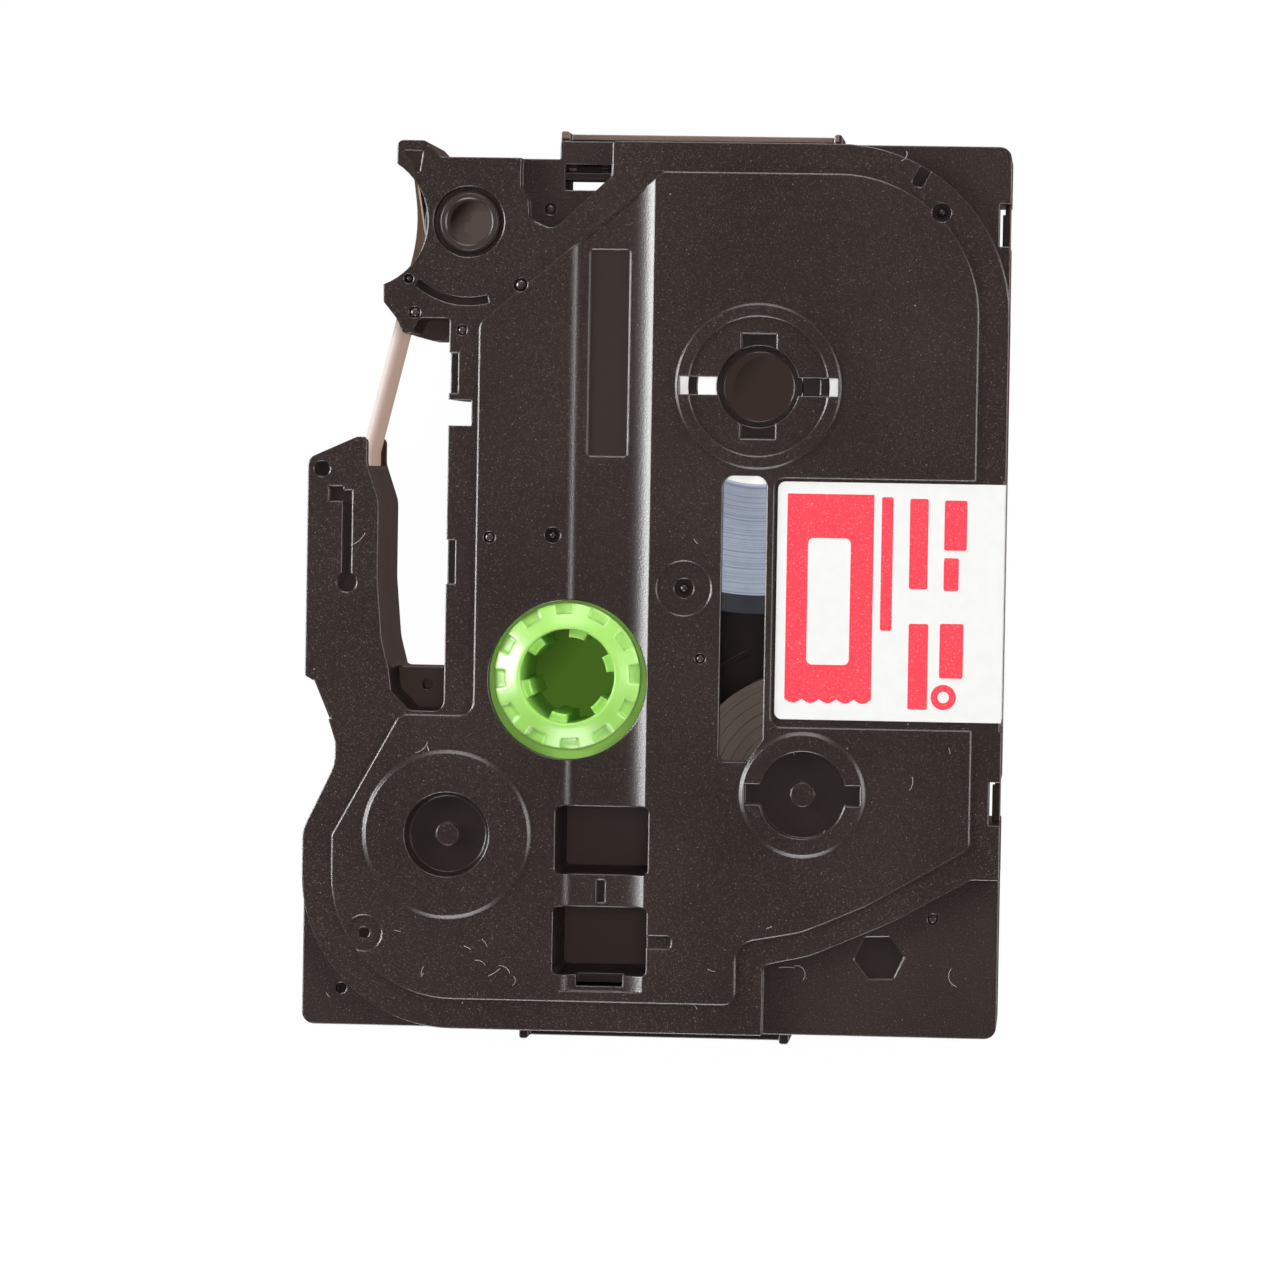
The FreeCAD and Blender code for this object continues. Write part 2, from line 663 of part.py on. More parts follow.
def reel_core(axis, bore, outer, wall, ribs):
    """A moulded reel: sleeve and rim joined by a web near the top and by radial ribs."""
    web_low = TAPE_HIGH - 1.2
    body = ring(axis, outer, bore, TAPE_LOW - 0.1, TAPE_HIGH)
    pocket = ring(axis, outer - wall, bore + wall, TAPE_LOW - 0.1 - OVERSHOOT, web_low)
    for i in range(ribs):
        rib = slab((bore, -wall / 2.0, outer, wall / 2.0), TAPE_LOW - OVERSHOOT, web_low)
        pocket = pocket.cut(placed(rib, axis, 360.0 * i / ribs))
    return body.cut(pocket)


def base_tape_spool():
    """White spool of the backed tape, turning on the wide boss."""
    return reel_core(BASE_AXIS, BASE_BOSS_R + RUN_CLEAR, BASE_SPOOL_R, 0.9, 6)


def film_tape_spool():
    """Spool of the clear film."""
    return reel_core(FILM_AXIS, FILM_BOSS_R + RUN_CLEAR, FILM_SPOOL_R, 0.8, 4)


def ribbon_supply_spool():
    """Spool that the fresh ink ribbon comes from."""
    return reel_core(RIBBON_AXIS, RIBBON_BOSS_R + RUN_CLEAR, RIBBON_SPOOL_R, 0.7, 4)


def base_spacer(low):
    """Film washer that keeps the sticky edge of the roll off the case."""
    return ring(BASE_AXIS, BASE_ROLL_R + BASE_SPACER_OVER, BASE_SPOOL_R + 0.2, low, low + BASE_SPACER_T)


def drive_roller():
    """Hard roller with a journal at each end and drive ribs inside its bore."""
    low = TAPE_LOW - SIDE_CLEAR
    high = TAPE_HIGH + SIDE_CLEAR
    end_low = 0.2
    end_high = OUTER_HIGH - 0.15
    profile = [
        (DRIVE_BORE_R, end_low),
        (DRIVE_JOURNAL_R, end_low),
        (DRIVE_JOURNAL_R, low),
        (DRIVE_R, low),
        (DRIVE_R, high),
        (DRIVE_JOURNAL_R, high),
        (DRIVE_JOURNAL_R, end_high - 0.25),
        (DRIVE_JOURNAL_R - 0.25, end_high),
        (DRIVE_BORE_R + 0.15, end_high),
        (DRIVE_BORE_R, end_high - 0.15),
    ]
    roller = turned(DRIVE_AXIS, profile)
    ribs = []
    for i in range(DRIVE_RIB_COUNT):
        rib = slab(
            (DRIVE_BORE_R - DRIVE_RIB_H, -DRIVE_RIB_W / 2.0, DRIVE_BORE_R + 0.3, DRIVE_RIB_W / 2.0),
            end_low + 1.0,
            end_high - DRIVE_RIB_SINK,
        )
        ribs.append(placed(rib, DRIVE_AXIS, 360.0 * (i + 0.5) / DRIVE_RIB_COUNT))
    return joined(roller, *ribs)


def film_guide_roller():
    """Small roller on a pin, where the film turns up towards the arm."""
    low = TAPE_LOW - SIDE_CLEAR
    high = TAPE_HIGH + SIDE_CLEAR
    return ring(GUIDE_AXIS, GUIDE_R, GUIDE_PIN_R + RUN_CLEAR, low, high)


def take_up_spool():
    """Spool that winds up the used ribbon: castellated ring above, splines inside."""
    ring_high = PLATEAU_HIGH + TAKE_UP_PROUD
    neck_high = FLOOR - SPRING_SEAT_DEPTH + 2 * SPRING_WIRE_R * SPRING_TURNS + 0.3
    profile = [
        (TAKE_UP_BORE_R, 0.25),
        (TAKE_UP_JOURNAL_R, 0.25),
        (TAKE_UP_JOURNAL_R, neck_high),
        (TAKE_UP_BARREL_R, neck_high),
        (TAKE_UP_BARREL_R, FLANGE_HIGH - TAKE_UP_FLANGE_T),
        (TAKE_UP_FLANGE_R, FLANGE_HIGH - TAKE_UP_FLANGE_T),
        (TAKE_UP_FLANGE_R, FLANGE_HIGH),
        (TAKE_UP_RING_R, FLANGE_HIGH),
        (TAKE_UP_RING_R, ring_high - RING_TAPER - 0.1),
        (TAKE_UP_RING_R - 0.1, ring_high - RING_TAPER),
        (TAKE_UP_BORE_R + 0.5, ring_high),
        (TAKE_UP_BORE_R + 0.15, ring_high),
        (TAKE_UP_BORE_R, ring_high - 0.2),
    ]
    spool = turned(TAKE_UP_AXIS, profile)
    pitch = 360.0 / NOTCH_COUNT
    notches = []
    for i in range(NOTCH_COUNT):
        middle = NOTCH_FIRST_DEG + i * pitch
        low = ring_high - RING_TAPER - NOTCH_DEEP
        reach = TAKE_UP_RING_R + OVERSHOOT
        notches.append(sector(TAKE_UP_AXIS, NOTCH_INNER_R, reach, middle, pitch / 2.0, low, ring_high + 0.5))
    spool = spool.cut(notches)
    splines = []
    for i in range(SPLINE_COUNT):
        middle = SPLINE_FIRST_DEG + i * 360.0 / SPLINE_COUNT
        splines.append(
            sector(
                TAKE_UP_AXIS,
                TAKE_UP_BORE_R - SPLINE_H,
                TAKE_UP_BORE_R + 0.3,
                middle,
                SPLINE_DEG,
                1.2,
                ring_high - SPLINE_SINK,
            )
        )
    return joined(spool, *splines)


def take_up_clutch_spring():
    """Close-wound wire on the neck of the take-up spool, with a tail that the case holds."""
    low = FLOOR - SPRING_SEAT_DEPTH + 0.02
    inner = TAKE_UP_JOURNAL_R + RUN_CLEAR
    coils = []
    for i in range(SPRING_TURNS):
        middle = low + SPRING_WIRE_R * (2 * i + 1)
        coil = Part.makeTorus(inner + SPRING_WIRE_R, SPRING_WIRE_R * 1.04, Vec(0, 0, middle), UP)
        coils.append(coil)
    tail = Part.makeCylinder(
        SPRING_WIRE_R, SPRING_TAIL, Vec(inner + SPRING_WIRE_R, 0, low + SPRING_WIRE_R), Vec(0, 1, 0)
    )
    return placed(joined(coils[0], *coils[1:], tail), TAKE_UP_AXIS, SPRING_TAIL_DEG)


def spring_seat():
    """Round seat in the floor with a groove that holds the tail of the spring."""
    low = FLOOR - SPRING_SEAT_DEPTH
    inner = TAKE_UP_JOURNAL_R + RUN_CLEAR
    groove = slab((inner, -1.0, inner + 4 * SPRING_WIRE_R, SPRING_TAIL + 0.3), low, FLOOR + OVERSHOOT)
    return [
        disc(TAKE_UP_AXIS, SPRING_SEAT_R, low, FLOOR + OVERSHOOT),
        placed(groove, TAKE_UP_AXIS, SPRING_TAIL_DEG),
    ]


# The two shells


def outer_form():
    """The whole case as one closed form, stepped down at its corners."""
    low_level = prism(FULL_OUTLINE, CORNER_LOW, PARTING)
    upper_level = prism(FULL_OUTLINE, PARTING, CORNER_HIGH)
    upper_level = upper_level.cut(slab(GAP_POCKET, PARTING, CORNER_HIGH + OVERSHOOT))
    upper_level = upper_level.cut(slab(HEAD_NUB, PARTING, CORNER_HIGH + OVERSHOOT))
    raised = prism(RAISED_OUTLINE, 0.0, OUTER_HIGH)
    plateau = prism(PLATEAU_OUTLINE, OUTER_HIGH - 0.5, PLATEAU_HIGH)
    form = joined(low_level, upper_level, raised, plateau)
    return form.cut(disc(PLATEN_CENTRE, PLATEN_R, -OVERSHOOT, PLATEAU_HIGH + OVERSHOOT))


def side_ledges():
    """Ledge along each long end with an upright ridge at both ends of it."""
    pieces = []
    for side, reach_from, spans in (
        (1, FAR_SIDE, FAR_RIDGES),
        (-1, NEAR_SIDE, NEAR_RIDGES),
    ):
        inner = reach_from - side * 0.6
        for x0, x1 in spans:
            y0, y1 = sorted((inner, reach_from + side * RIDGE_PROUD))
            pieces.append(slab((x0, y0, x1, y1), LEDGE_LOW, RIDGE_HIGH, 0.3))
        y0, y1 = sorted((inner, reach_from + side * LEDGE_PROUD))
        pieces.append(slab((spans[0][0] + 0.3, y0, spans[1][1] - 0.3, y1), LEDGE_LOW, LEDGE_HIGH))
    return pieces


def cavity():
    """The hollow inside the case and its lanes for tape, film and ribbon, as a list of cutters."""
    main = shrunk_prism(RAISED_OUTLINE, WALL, CAVITY_LOW, CAVITY_HIGH)
    corners = shrunk_prism(FULL_OUTLINE, WALL, CORNER_LOW + CORNER_WALL, CORNER_HIGH - CORNER_WALL)
    corners = corners.cut(slab(grown(GAP_POCKET, WALL), 0.0, OUTER_HIGH))
    corners = corners.cut(slab(grown(HEAD_NUB, WALL / 2.0), 0.0, OUTER_HIGH))
    return [
        main,
        corners,
        strip(FILM_PATH[3:], 2 * LANE_HALF, CAVITY_LOW, CAVITY_HIGH),
        strip(BASE_PATH, 2 * LANE_HALF, CAVITY_LOW, CAVITY_HIGH),
        strip(RIBBON_PATH[1:], 2 * LANE_HALF, CAVITY_LOW, CAVITY_HIGH),
        disc(DRIVE_AXIS, DRIVE_R + LOOSE_CLEAR, CAVITY_LOW, CAVITY_HIGH),
        slab(MOUTH_SLOT, CAVITY_LOW, CAVITY_HIGH),
    ]


def hollow_half(unwanted):
    """The case without its inside and without the half on the other side of the parting line."""
    form = joined(outer_form(), *side_ledges())
    return pierced(form.cut(unwanted), cavity())


def well_walls(low, high):
    """Walls of the two square wells in the sunk band."""
    wall_a = slab(grown(WELL_A_BOX, RIB), low, high, WELL_CORNER_R + RIB)
    wall_b = slab(grown(WELL_B_BOX, RIB), low, high, WELL_CORNER_R + RIB)
    return [wall_a, wall_b]


def well_voids(low, high):
    """The insides of the two wells."""
    void_a = slab(WELL_A_BOX, low, high, WELL_CORNER_R)
    void_b = slab(WELL_B_BOX, low, high, WELL_CORNER_R)
    return [void_a, void_b]


def boss(axis, r, wall, high):
    """A hollow post that a reel turns on."""
    return ring(axis, r, r - wall, FLOOR - 0.5, high)


def lower_case():
    """Bottom shell with its bosses, posts and wells."""
    shell = hollow_half(slab(WHOLE, PARTING, PLATEAU_HIGH + OVERSHOOT))
    film_rib_r = FILM_ROLL_R + FILM_RIB_OVER
    solid = latch_backs(CORNER_LOW + 0.5, PARTING) + [
        boss(BASE_AXIS, BASE_BOSS_R, BOSS_WALL, BOSS_HIGH),
        boss(FILM_AXIS, FILM_BOSS_R, BOSS_WALL, BOSS_HIGH),
        boss(RIBBON_AXIS, RIBBON_BOSS_R, BOSS_WALL, BOSS_HIGH),
        disc(GUIDE_AXIS, GUIDE_PIN_R, FLOOR - 0.5, BOSS_HIGH),
        disc(bend_centre(FILM_PATH, 1), POST_R, FLOOR - 0.5, BOSS_HIGH),
        disc(bend_centre(FILM_PATH, 2), POST_R, FLOOR - 0.5, BOSS_HIGH),
        disc(bend_centre(RIBBON_PATH, 1), RIBBON_POST_R, FLOOR - 0.5, BOSS_HIGH),
        sector(FILM_AXIS, film_rib_r - 0.5, film_rib_r, 180.0, 130.0, FLOOR - 0.5, FLOOR + 0.3),
    ]
    solid += well_walls(FLOOR - 0.3, PARTING)
    for x, y in JOINT_PINS:
        solid.append(disc((x, y), JOINT_POST_R, FLOOR - 0.5, PARTING))
        solid.append(disc((x, y), JOINT_PIN_R, PARTING - 1.0, PARTING + JOINT_PIN_LENGTH))
    for place in (FAR_PIN_HOLE, NEAR_PIN_HOLE):
        solid.append(disc(place, PIN_HOLE_R + WALL, CORNER_LOW + 0.5, CORNER_LOW + PIN_HOLE_DEPTH + WALL))
    shell = joined(shell, *solid)
    cuts = well_voids(WELL_FLOOR_TOP, PARTING + OVERSHOOT) + label_seat() + spring_seat()
    for (y0, y1), notch in zip(LATCHES, latch_notches(-OVERSHOOT, PARTING + OVERSHOOT, LATCH_SLIT_DRAFT)):
        cuts.append(notch.cut(latch_finger(y0, y1)))
    for box in (WELL_A_BOX, WELL_B_BOX):
        cuts.append(slab(grown(box, -0.4), -OVERSHOOT, WELL_FLOOR_LOW, WELL_CORNER_R))
    cuts += [
        disc(DRIVE_AXIS, DRIVE_JOURNAL_R + LOOSE_CLEAR, -OVERSHOOT, FLOOR + OVERSHOOT),
        disc(TAKE_UP_AXIS, TAKE_UP_JOURNAL_R + RUN_CLEAR, -OVERSHOOT, FLOOR + OVERSHOOT),
        disc(BASE_AXIS, BASE_BOSS_R - BOSS_WALL, -OVERSHOOT, FLOOR + OVERSHOOT),
        disc(FILM_AXIS, FILM_BOSS_R - BOSS_WALL, -OVERSHOOT, FLOOR + OVERSHOOT),
        disc(RIBBON_AXIS, RIBBON_BOSS_R - BOSS_WALL, -OVERSHOOT, FLOOR + OVERSHOOT),
        slab(FLOOR_WINDOW, -OVERSHOOT, PARTING + OVERSHOOT),
        slab(BODY_NOTCH, -OVERSHOOT, PARTING + OVERSHOOT),
        disc(POCKET_HOLE, 0.45, PARTING - 2.0, PARTING + OVERSHOOT),
        disc(FAR_PIN_HOLE, PIN_HOLE_R, -OVERSHOOT, CORNER_LOW + PIN_HOLE_DEPTH),
        disc(NEAR_PIN_HOLE, PIN_HOLE_R, -OVERSHOOT, CORNER_LOW + PIN_HOLE_DEPTH),
    ]
    return seamless(pierced(shell, cuts))


def raised_disc(axis, r, rise, bevel):
    """A round land on the labelled face with a bevelled edge."""
    low = PLATEAU_HIGH - 0.3
    high = PLATEAU_HIGH + rise
    return turned(axis, [(0, low), (r, low), (r, high - bevel), (r - bevel, high), (0, high)])


def face_lands():
    """Round lands about the three reel hubs."""
    base_land = raised_disc(BASE_AXIS, BASE_LAND_R, HUB_RISE, 0.1)
    base_land = base_land.cut(disc(BASE_AXIS, BASE_LAND_INNER_R, PLATEAU_HIGH, PLATEAU_HIGH + OVERSHOOT))
    return [
        base_land,
        raised_disc(FILM_AXIS, FILM_LAND_R, HUB_RISE, LAND_BEVEL),
        raised_disc(RIBBON_AXIS, RIBBON_LAND_R, HUB_RISE, LAND_BEVEL),
    ]


def hub_openings():
    """Holes, slots and sunk middles of the three reel hubs."""
    top = PLATEAU_HIGH + OVERSHOOT
    under = CAVITY_HIGH - OVERSHOOT
    sunk = PLATEAU_HIGH - HUB_SINK
    stud_top = PLATEAU_HIGH - HUB_STUD_SINK
    bar = ring(BASE_AXIS, BASE_BAR_R[1], BASE_BAR_R[0], under, PLATEAU_HIGH - BASE_BAR_SINK)
    film_hole = disc(FILM_AXIS, FILM_SUNK_R, sunk, top)
    reach_in, reach_out = FILM_SLOT_REACH
    right_slot = slab((reach_in, -FILM_SLOT_HALF, reach_out, FILM_SLOT_HALF), sunk, top)
    left_slot = slab((-reach_out, -FILM_SLOT_HALF, -reach_in, FILM_SLOT_HALF), sunk, top)
    ribbon_profile = [(0, sunk), (RIBBON_SUNK_R, sunk), (RIBBON_SUNK_R + RIBBON_SUNK_FLARE, top), (0, top)]
    return [
        disc(BASE_AXIS, BASE_HUB_HOLE_R, under, top),
        centred_slab(BASE_AXIS, BASE_NOTCH_HALF, PLATEAU_HIGH - BASE_NOTCH_SINK, top),
        centred_slab(BASE_AXIS, BASE_SLOT_HALF, under, top).cut(bar),
        film_hole.cut(disc(FILM_AXIS, FILM_STUD_R, 0.0, stud_top)),
        placed(right_slot, FILM_AXIS, 0.0),
        placed(left_slot, FILM_AXIS, 0.0),
        turned(RIBBON_AXIS, ribbon_profile).cut(disc(RIBBON_AXIS, RIBBON_STUD_R, 0.0, stud_top)),
    ]


def channel_cut():
    """The sunk band: a flat floor, an S-shaped slope on its left and a cove on its right."""
    floor = PLATEAU_HIGH - CHANNEL_DEPTH
    left_foot = CHANNEL_LEFT + CHANNEL_LEFT_SLOPE
    right_foot = CHANNEL_RIGHT - CHANNEL_RIGHT_SLOPE
    bend_r = (CHANNEL_LEFT_SLOPE ** 2 + CHANNEL_DEPTH ** 2) / (4.0 * CHANNEL_DEPTH)
    cove_r = (CHANNEL_RIGHT_SLOPE ** 2 + CHANNEL_DEPTH ** 2) / (2.0 * CHANNEL_DEPTH)
    half_bend = math.atan(CHANNEL_DEPTH / CHANNEL_LEFT_SLOPE)
    half_cove = math.atan(CHANNEL_DEPTH / CHANNEL_RIGHT_SLOPE)

    def at(x, z):
        return Vec(x, CHANNEL_NEAR_END, z)

    brim_left = at(CHANNEL_LEFT, PLATEAU_HIGH)
    middle = at(CHANNEL_LEFT + CHANNEL_LEFT_SLOPE / 2.0, PLATEAU_HIGH - CHANNEL_DEPTH / 2.0)
    upper = at(
        CHANNEL_LEFT + bend_r * math.sin(half_bend),
        PLATEAU_HIGH - bend_r * (1.0 - math.cos(half_bend)),
    )
    lower = at(left_foot - bend_r * math.sin(half_bend), floor + bend_r * (1.0 - math.cos(half_bend)))
    cove = at(right_foot + cove_r * math.sin(half_cove), floor + cove_r * (1.0 - math.cos(half_cove)))
    brim_right = at(CHANNEL_RIGHT, PLATEAU_HIGH)
    roof_right = at(CHANNEL_RIGHT, PLATEAU_HIGH + OVERSHOOT)
    roof_left = at(CHANNEL_LEFT, PLATEAU_HIGH + OVERSHOOT)
    edges = [
        Part.Arc(brim_left, upper, middle).toShape(),
        Part.Arc(middle, lower, at(left_foot, floor)).toShape(),
        Part.makeLine(at(left_foot, floor), at(right_foot, floor)),
        Part.Arc(at(right_foot, floor), cove, brim_right).toShape(),
        Part.makeLine(brim_right, roof_right),
        Part.makeLine(roof_right, roof_left),
        Part.makeLine(roof_left, brim_left),
    ]
    band = Part.Face(Part.Wire(edges)).extrude(Vec(0, FAR_SIDE - CHANNEL_NEAR_END, 0))
    return band.common(prism(PLATEAU_OUTLINE, floor - OVERSHOOT, PLATEAU_HIGH + 2 * OVERSHOOT))


def sight_window():
    """The long window over both tape reels, with one corner cut off."""
    x0, y0, x1, y1 = SIGHT_BOX
    across, up = SIGHT_CHAMFER
    outline = [
        corner(x0, y0, 0.6),
        corner(x1 - across, y0, 0.4),
        corner(x1, y0 + up, 0.3),
        corner(x1, y1, SIGHT_CORNER_R),
        corner(x0, y1, SIGHT_CORNER_R),
    ]
    return prism(outline, CAVITY_HIGH - OVERSHOOT, PLATEAU_HIGH + OVERSHOOT)


def label_seat():
    """Sunk place for the label on the face and down the long side."""
    x0, y0, y1 = LABEL_SEAT_BOX
    face_part = slab((x0, y0, RIGHT + 5.0, y1), OUTER_HIGH, PLATEAU_HIGH + OVERSHOOT, LABEL_CORNER_R + 0.3)
    side_part = slab(
        (RIGHT - LABEL_SIDE_SEAT, y0, RIGHT + OVERSHOOT, y1),
        OUTER_HIGH - LABEL_DROP - 0.3,
        OUTER_HIGH + OVERSHOOT,
    )
    return [face_part, side_part]


def domed_pin(centre, r, high):
    """A pin end with a round top."""
    return disc(centre, r, 0.0, high - r).fuse(Part.makeSphere(r, Vec(centre[0], centre[1], high - r)))


def marks():
    """Round dimples on the labelled face, some with the end of a pin in them."""
    cuts = []
    for x, y, r, pin in FACE_MARKS:
        top = surface_height(x, y)
        hole = disc((x, y), r, top - MARK_DEPTH, top + OVERSHOOT)
        if pin > 0.0:
            hole = hole.cut(domed_pin((x, y), pin, top - PIN_SINK))
        cuts.append(hole)
    return cuts


def surface_height(x, y):
    """Level of the labelled face at one place."""
    for outline, high in ((PLATEAU_OUTLINE, PLATEAU_HIGH), (RAISED_OUTLINE, OUTER_HIGH)):
        if rounded_face(outline).isInside(Vec(x, y, 0), 1e-4, True):
            return high
    return CORNER_HIGH


def arm_recess():
    """Stepped keyhole recess on the arm."""
    top = OUTER_HIGH + OVERSHOOT
    deep = OUTER_HIGH - ARM_RECESS_DEPTH
    return [
        slab(ARM_SQUARE, deep, top, 0.15),
        slab(ARM_SLOT, deep, top),
        disc(ARM_EYE, ARM_EYE_R, deep, top),
    ]


def latch_backs(low, high):
    """Thickened wall behind the two latch notches."""
    backs = []
    for y0, y1 in LATCHES:
        box = (RIGHT - LATCH_DEPTH - LATCH_SLIT_DRAFT - WALL, y0 - WALL, RIGHT - 0.5, y1 + WALL)
        backs.append(slab(box, low, high))
    return backs


def latch_finger(y0, y1):
    """Finger of the lower shell that fills a latch notch, but for a slit behind it and an eye at one end."""
    inner = RIGHT - LATCH_DEPTH + LATCH_SLIT
    finger = slab((inner, y0 - WALL, RIGHT - 0.05, y1 + WALL), LATCH_LOW, PARTING)
    eye = slab((inner - WALL, y1 - LATCH_EYE, inner + LATCH_SLIT, y1), 0.0, PARTING + OVERSHOOT)
    return finger.cut(eye)


def latch_notches(low, high, draft):
    """Two notches in the long side. Draft makes them wider inwards."""
    return [slab((RIGHT - LATCH_DEPTH - draft, y0, RIGHT + OVERSHOOT, y1), low, high) for y0, y1 in LATCHES]


def upper_case():
    """Top shell: the labelled face with its windows, hubs and recesses."""
    shell = hollow_half(slab(WHOLE, -OVERSHOOT, PARTING))
    solid = well_walls(PARTING, OUTER_HIGH - 0.5) + face_lands() + latch_backs(PARTING, CORNER_HIGH - 0.5)
    window_low = CORNER_HIGH - CORNER_WINDOW_DEPTH - CORNER_WINDOW_FLOOR
    solid.append(slab(grown(CORNER_WINDOW, RIB / 2.0), window_low, CORNER_HIGH - 0.5))
    for x, y in JOINT_PINS:
        solid.append(disc((x, y), JOINT_POST_R, PARTING, surface_height(x, y) - 0.6))
    shell = joined(shell, *solid)
    top = PLATEAU_HIGH + OVERSHOOT
    cuts = well_voids(PARTING - OVERSHOOT, top)
    cuts.append(slab(WELL_B_NOTCH, CAVITY_HIGH - OVERSHOOT, top))
    cuts += hub_openings()
    cuts += label_seat()
    cuts += marks()
    cuts += latch_notches(PARTING - OVERSHOOT, PLATEAU_HIGH + OVERSHOOT, 0.0)
    cuts += arm_recess()
    cuts += [
        channel_cut(),
        slab(NAME_BOX, PLATEAU_HIGH - CHANNEL_DEPTH - NAME_RECESS_DEPTH, top, 0.3),
        slab(BRIDGE_SLOT, PLATEAU_HIGH - CHANNEL_DEPTH - BRIDGE_SLOT_DEPTH, top, 0.1),
        sight_window(),
        disc(DRIVE_AXIS, DRIVE_JOURNAL_R + LOOSE_CLEAR, CAVITY_HIGH - OVERSHOOT, top),
        disc(TAKE_UP_HOLE, TAKE_UP_HOLE_R, CAVITY_HIGH - OVERSHOOT, top),
        disc(TAKE_UP_AXIS, TAKE_UP_FLANGE_R + LOOSE_CLEAR, CAVITY_HIGH - OVERSHOOT, FLANGE_HIGH + 0.3),
        corner_window(),
        slab(BODY_NOTCH, PARTING - OVERSHOOT, top),
        disc(DISC_MARK, DISC_MARK_R, PLATEAU_HIGH - 0.15, top),
        disc(DISC_MARK, DISC_MARK_HOLE_R, PLATEAU_HIGH - MARK_DEPTH, top).cut(
            domed_pin(DISC_MARK, DISC_MARK_PIN_R, PLATEAU_HIGH - MARK_DEPTH / 3.0)),
        disc(GUIDE_AXIS, GUIDE_DIMPLE_R, PLATEAU_HIGH - 0.3, top),
        disc(GUIDE_AXIS, 0.5, PLATEAU_HIGH - MARK_DEPTH, top),
        slab(WELL_B_TAIL, PLATEAU_HIGH - 0.6, top, 0.4),
        sector(DRIVE_AXIS, *HEAD_GROOVE_R, *HEAD_GROOVE_DEG, OUTER_HIGH - 0.7, top),
        prism([corner(x, y, 0.15) for x, y in HORN_POCKET], OUTER_HIGH - HORN_POCKET_DEPTH, top),
        strip([corner(x, y) for x, y in ARM_STEP_LINE], 0.5, OUTER_HIGH - 1.2, top),
        turned_slot(),
        corner_sight(),
    ]
    for box in CORNER_WINDOW_SLOTS:
        cuts.append(slab(box, PARTING, CORNER_HIGH - CORNER_WINDOW_DEPTH + OVERSHOOT / 2.0))
    for y0, y1 in GAP_SLOTS:
        cuts.append(slab((GAP_RIGHT - OVERSHOOT, y0, GAP_RIGHT + RIB, y1), CAVITY_HIGH, top))
    for x, y in JOINT_PINS:
        socket_high = PARTING + JOINT_PIN_LENGTH + 0.4
        cuts.append(disc((x, y), JOINT_PIN_R + SHELL_CLEAR, PARTING - OVERSHOOT, socket_high))
    return seamless(pierced(shell, cuts))


def corner_window():
    """Deep recess behind the head, with a bar across it."""
    x0, _, x1, _ = CORNER_WINDOW
    near, far = CORNER_WINDOW_BAR
    bar = slab((x0 - RIB, near, x1 + RIB, far), 0.0, CORNER_HIGH - CORNER_WINDOW_BAR_SINK)
    return slab(CORNER_WINDOW, CORNER_HIGH - CORNER_WINDOW_DEPTH, CORNER_HIGH + OVERSHOOT).cut(bar)


def turned_slot():
    """Slanting slot across the rounded edge at the far right."""
    slot = slab((-0.55, -1.2, 0.55, 1.1), OUTER_HIGH - 0.9, PLATEAU_HIGH + OVERSHOOT, 0.4)
    return placed(slot, FAR_SLOT, FAR_SLOT_DEG)


def corner_sight():
    """Six-sided shallow recess in the near right corner."""
    recess = prism(
        [
            corner(-1.95, -1.1, 0.3),
            corner(0.0, -2.1, 0.3),
            corner(1.95, -1.1, 0.3),
            corner(1.95, 1.1, 0.3),
            corner(0.0, 2.1, 0.3),
            corner(-1.95, 1.1, 0.3),
        ],
        CORNER_HIGH - CORNER_SIGHT_DEPTH,
        CORNER_HIGH + OVERSHOOT,
    )
    return placed(recess, CORNER_SIGHT, CORNER_SIGHT_DEG)


def label():
    """Printed label: one sheet folded over the long edge."""
    x0, y0, y1 = LABEL_BOX
    side_x = RIGHT - LABEL_SIDE_SEAT
    face_part = prism(
        [
            corner(x0, y0, LABEL_CORNER_R),
            corner(side_x + LABEL_T, y0),
            corner(side_x + LABEL_T, y1),
            corner(x0, y1, LABEL_CORNER_R),
        ],
        OUTER_HIGH,
        OUTER_HIGH + LABEL_T,
    )
    side_part = slab((side_x, y0, side_x + LABEL_T, y1), OUTER_HIGH - LABEL_DROP, OUTER_HIGH + LABEL_T)
    return joined(face_part, side_part)


def write(node, shape):
    """Save one piece, and say how many solids it has and its volume."""
    shape.exportStep(os.path.join("parts", node + ".step"))
    box = shape.BoundBox
    print("%-24s solids %d volume %.1f z %.2f..%.2f valid %s" % (
        node, len(shape.Solids), shape.Volume, box.ZMin, box.ZMax, shape.isValid()))


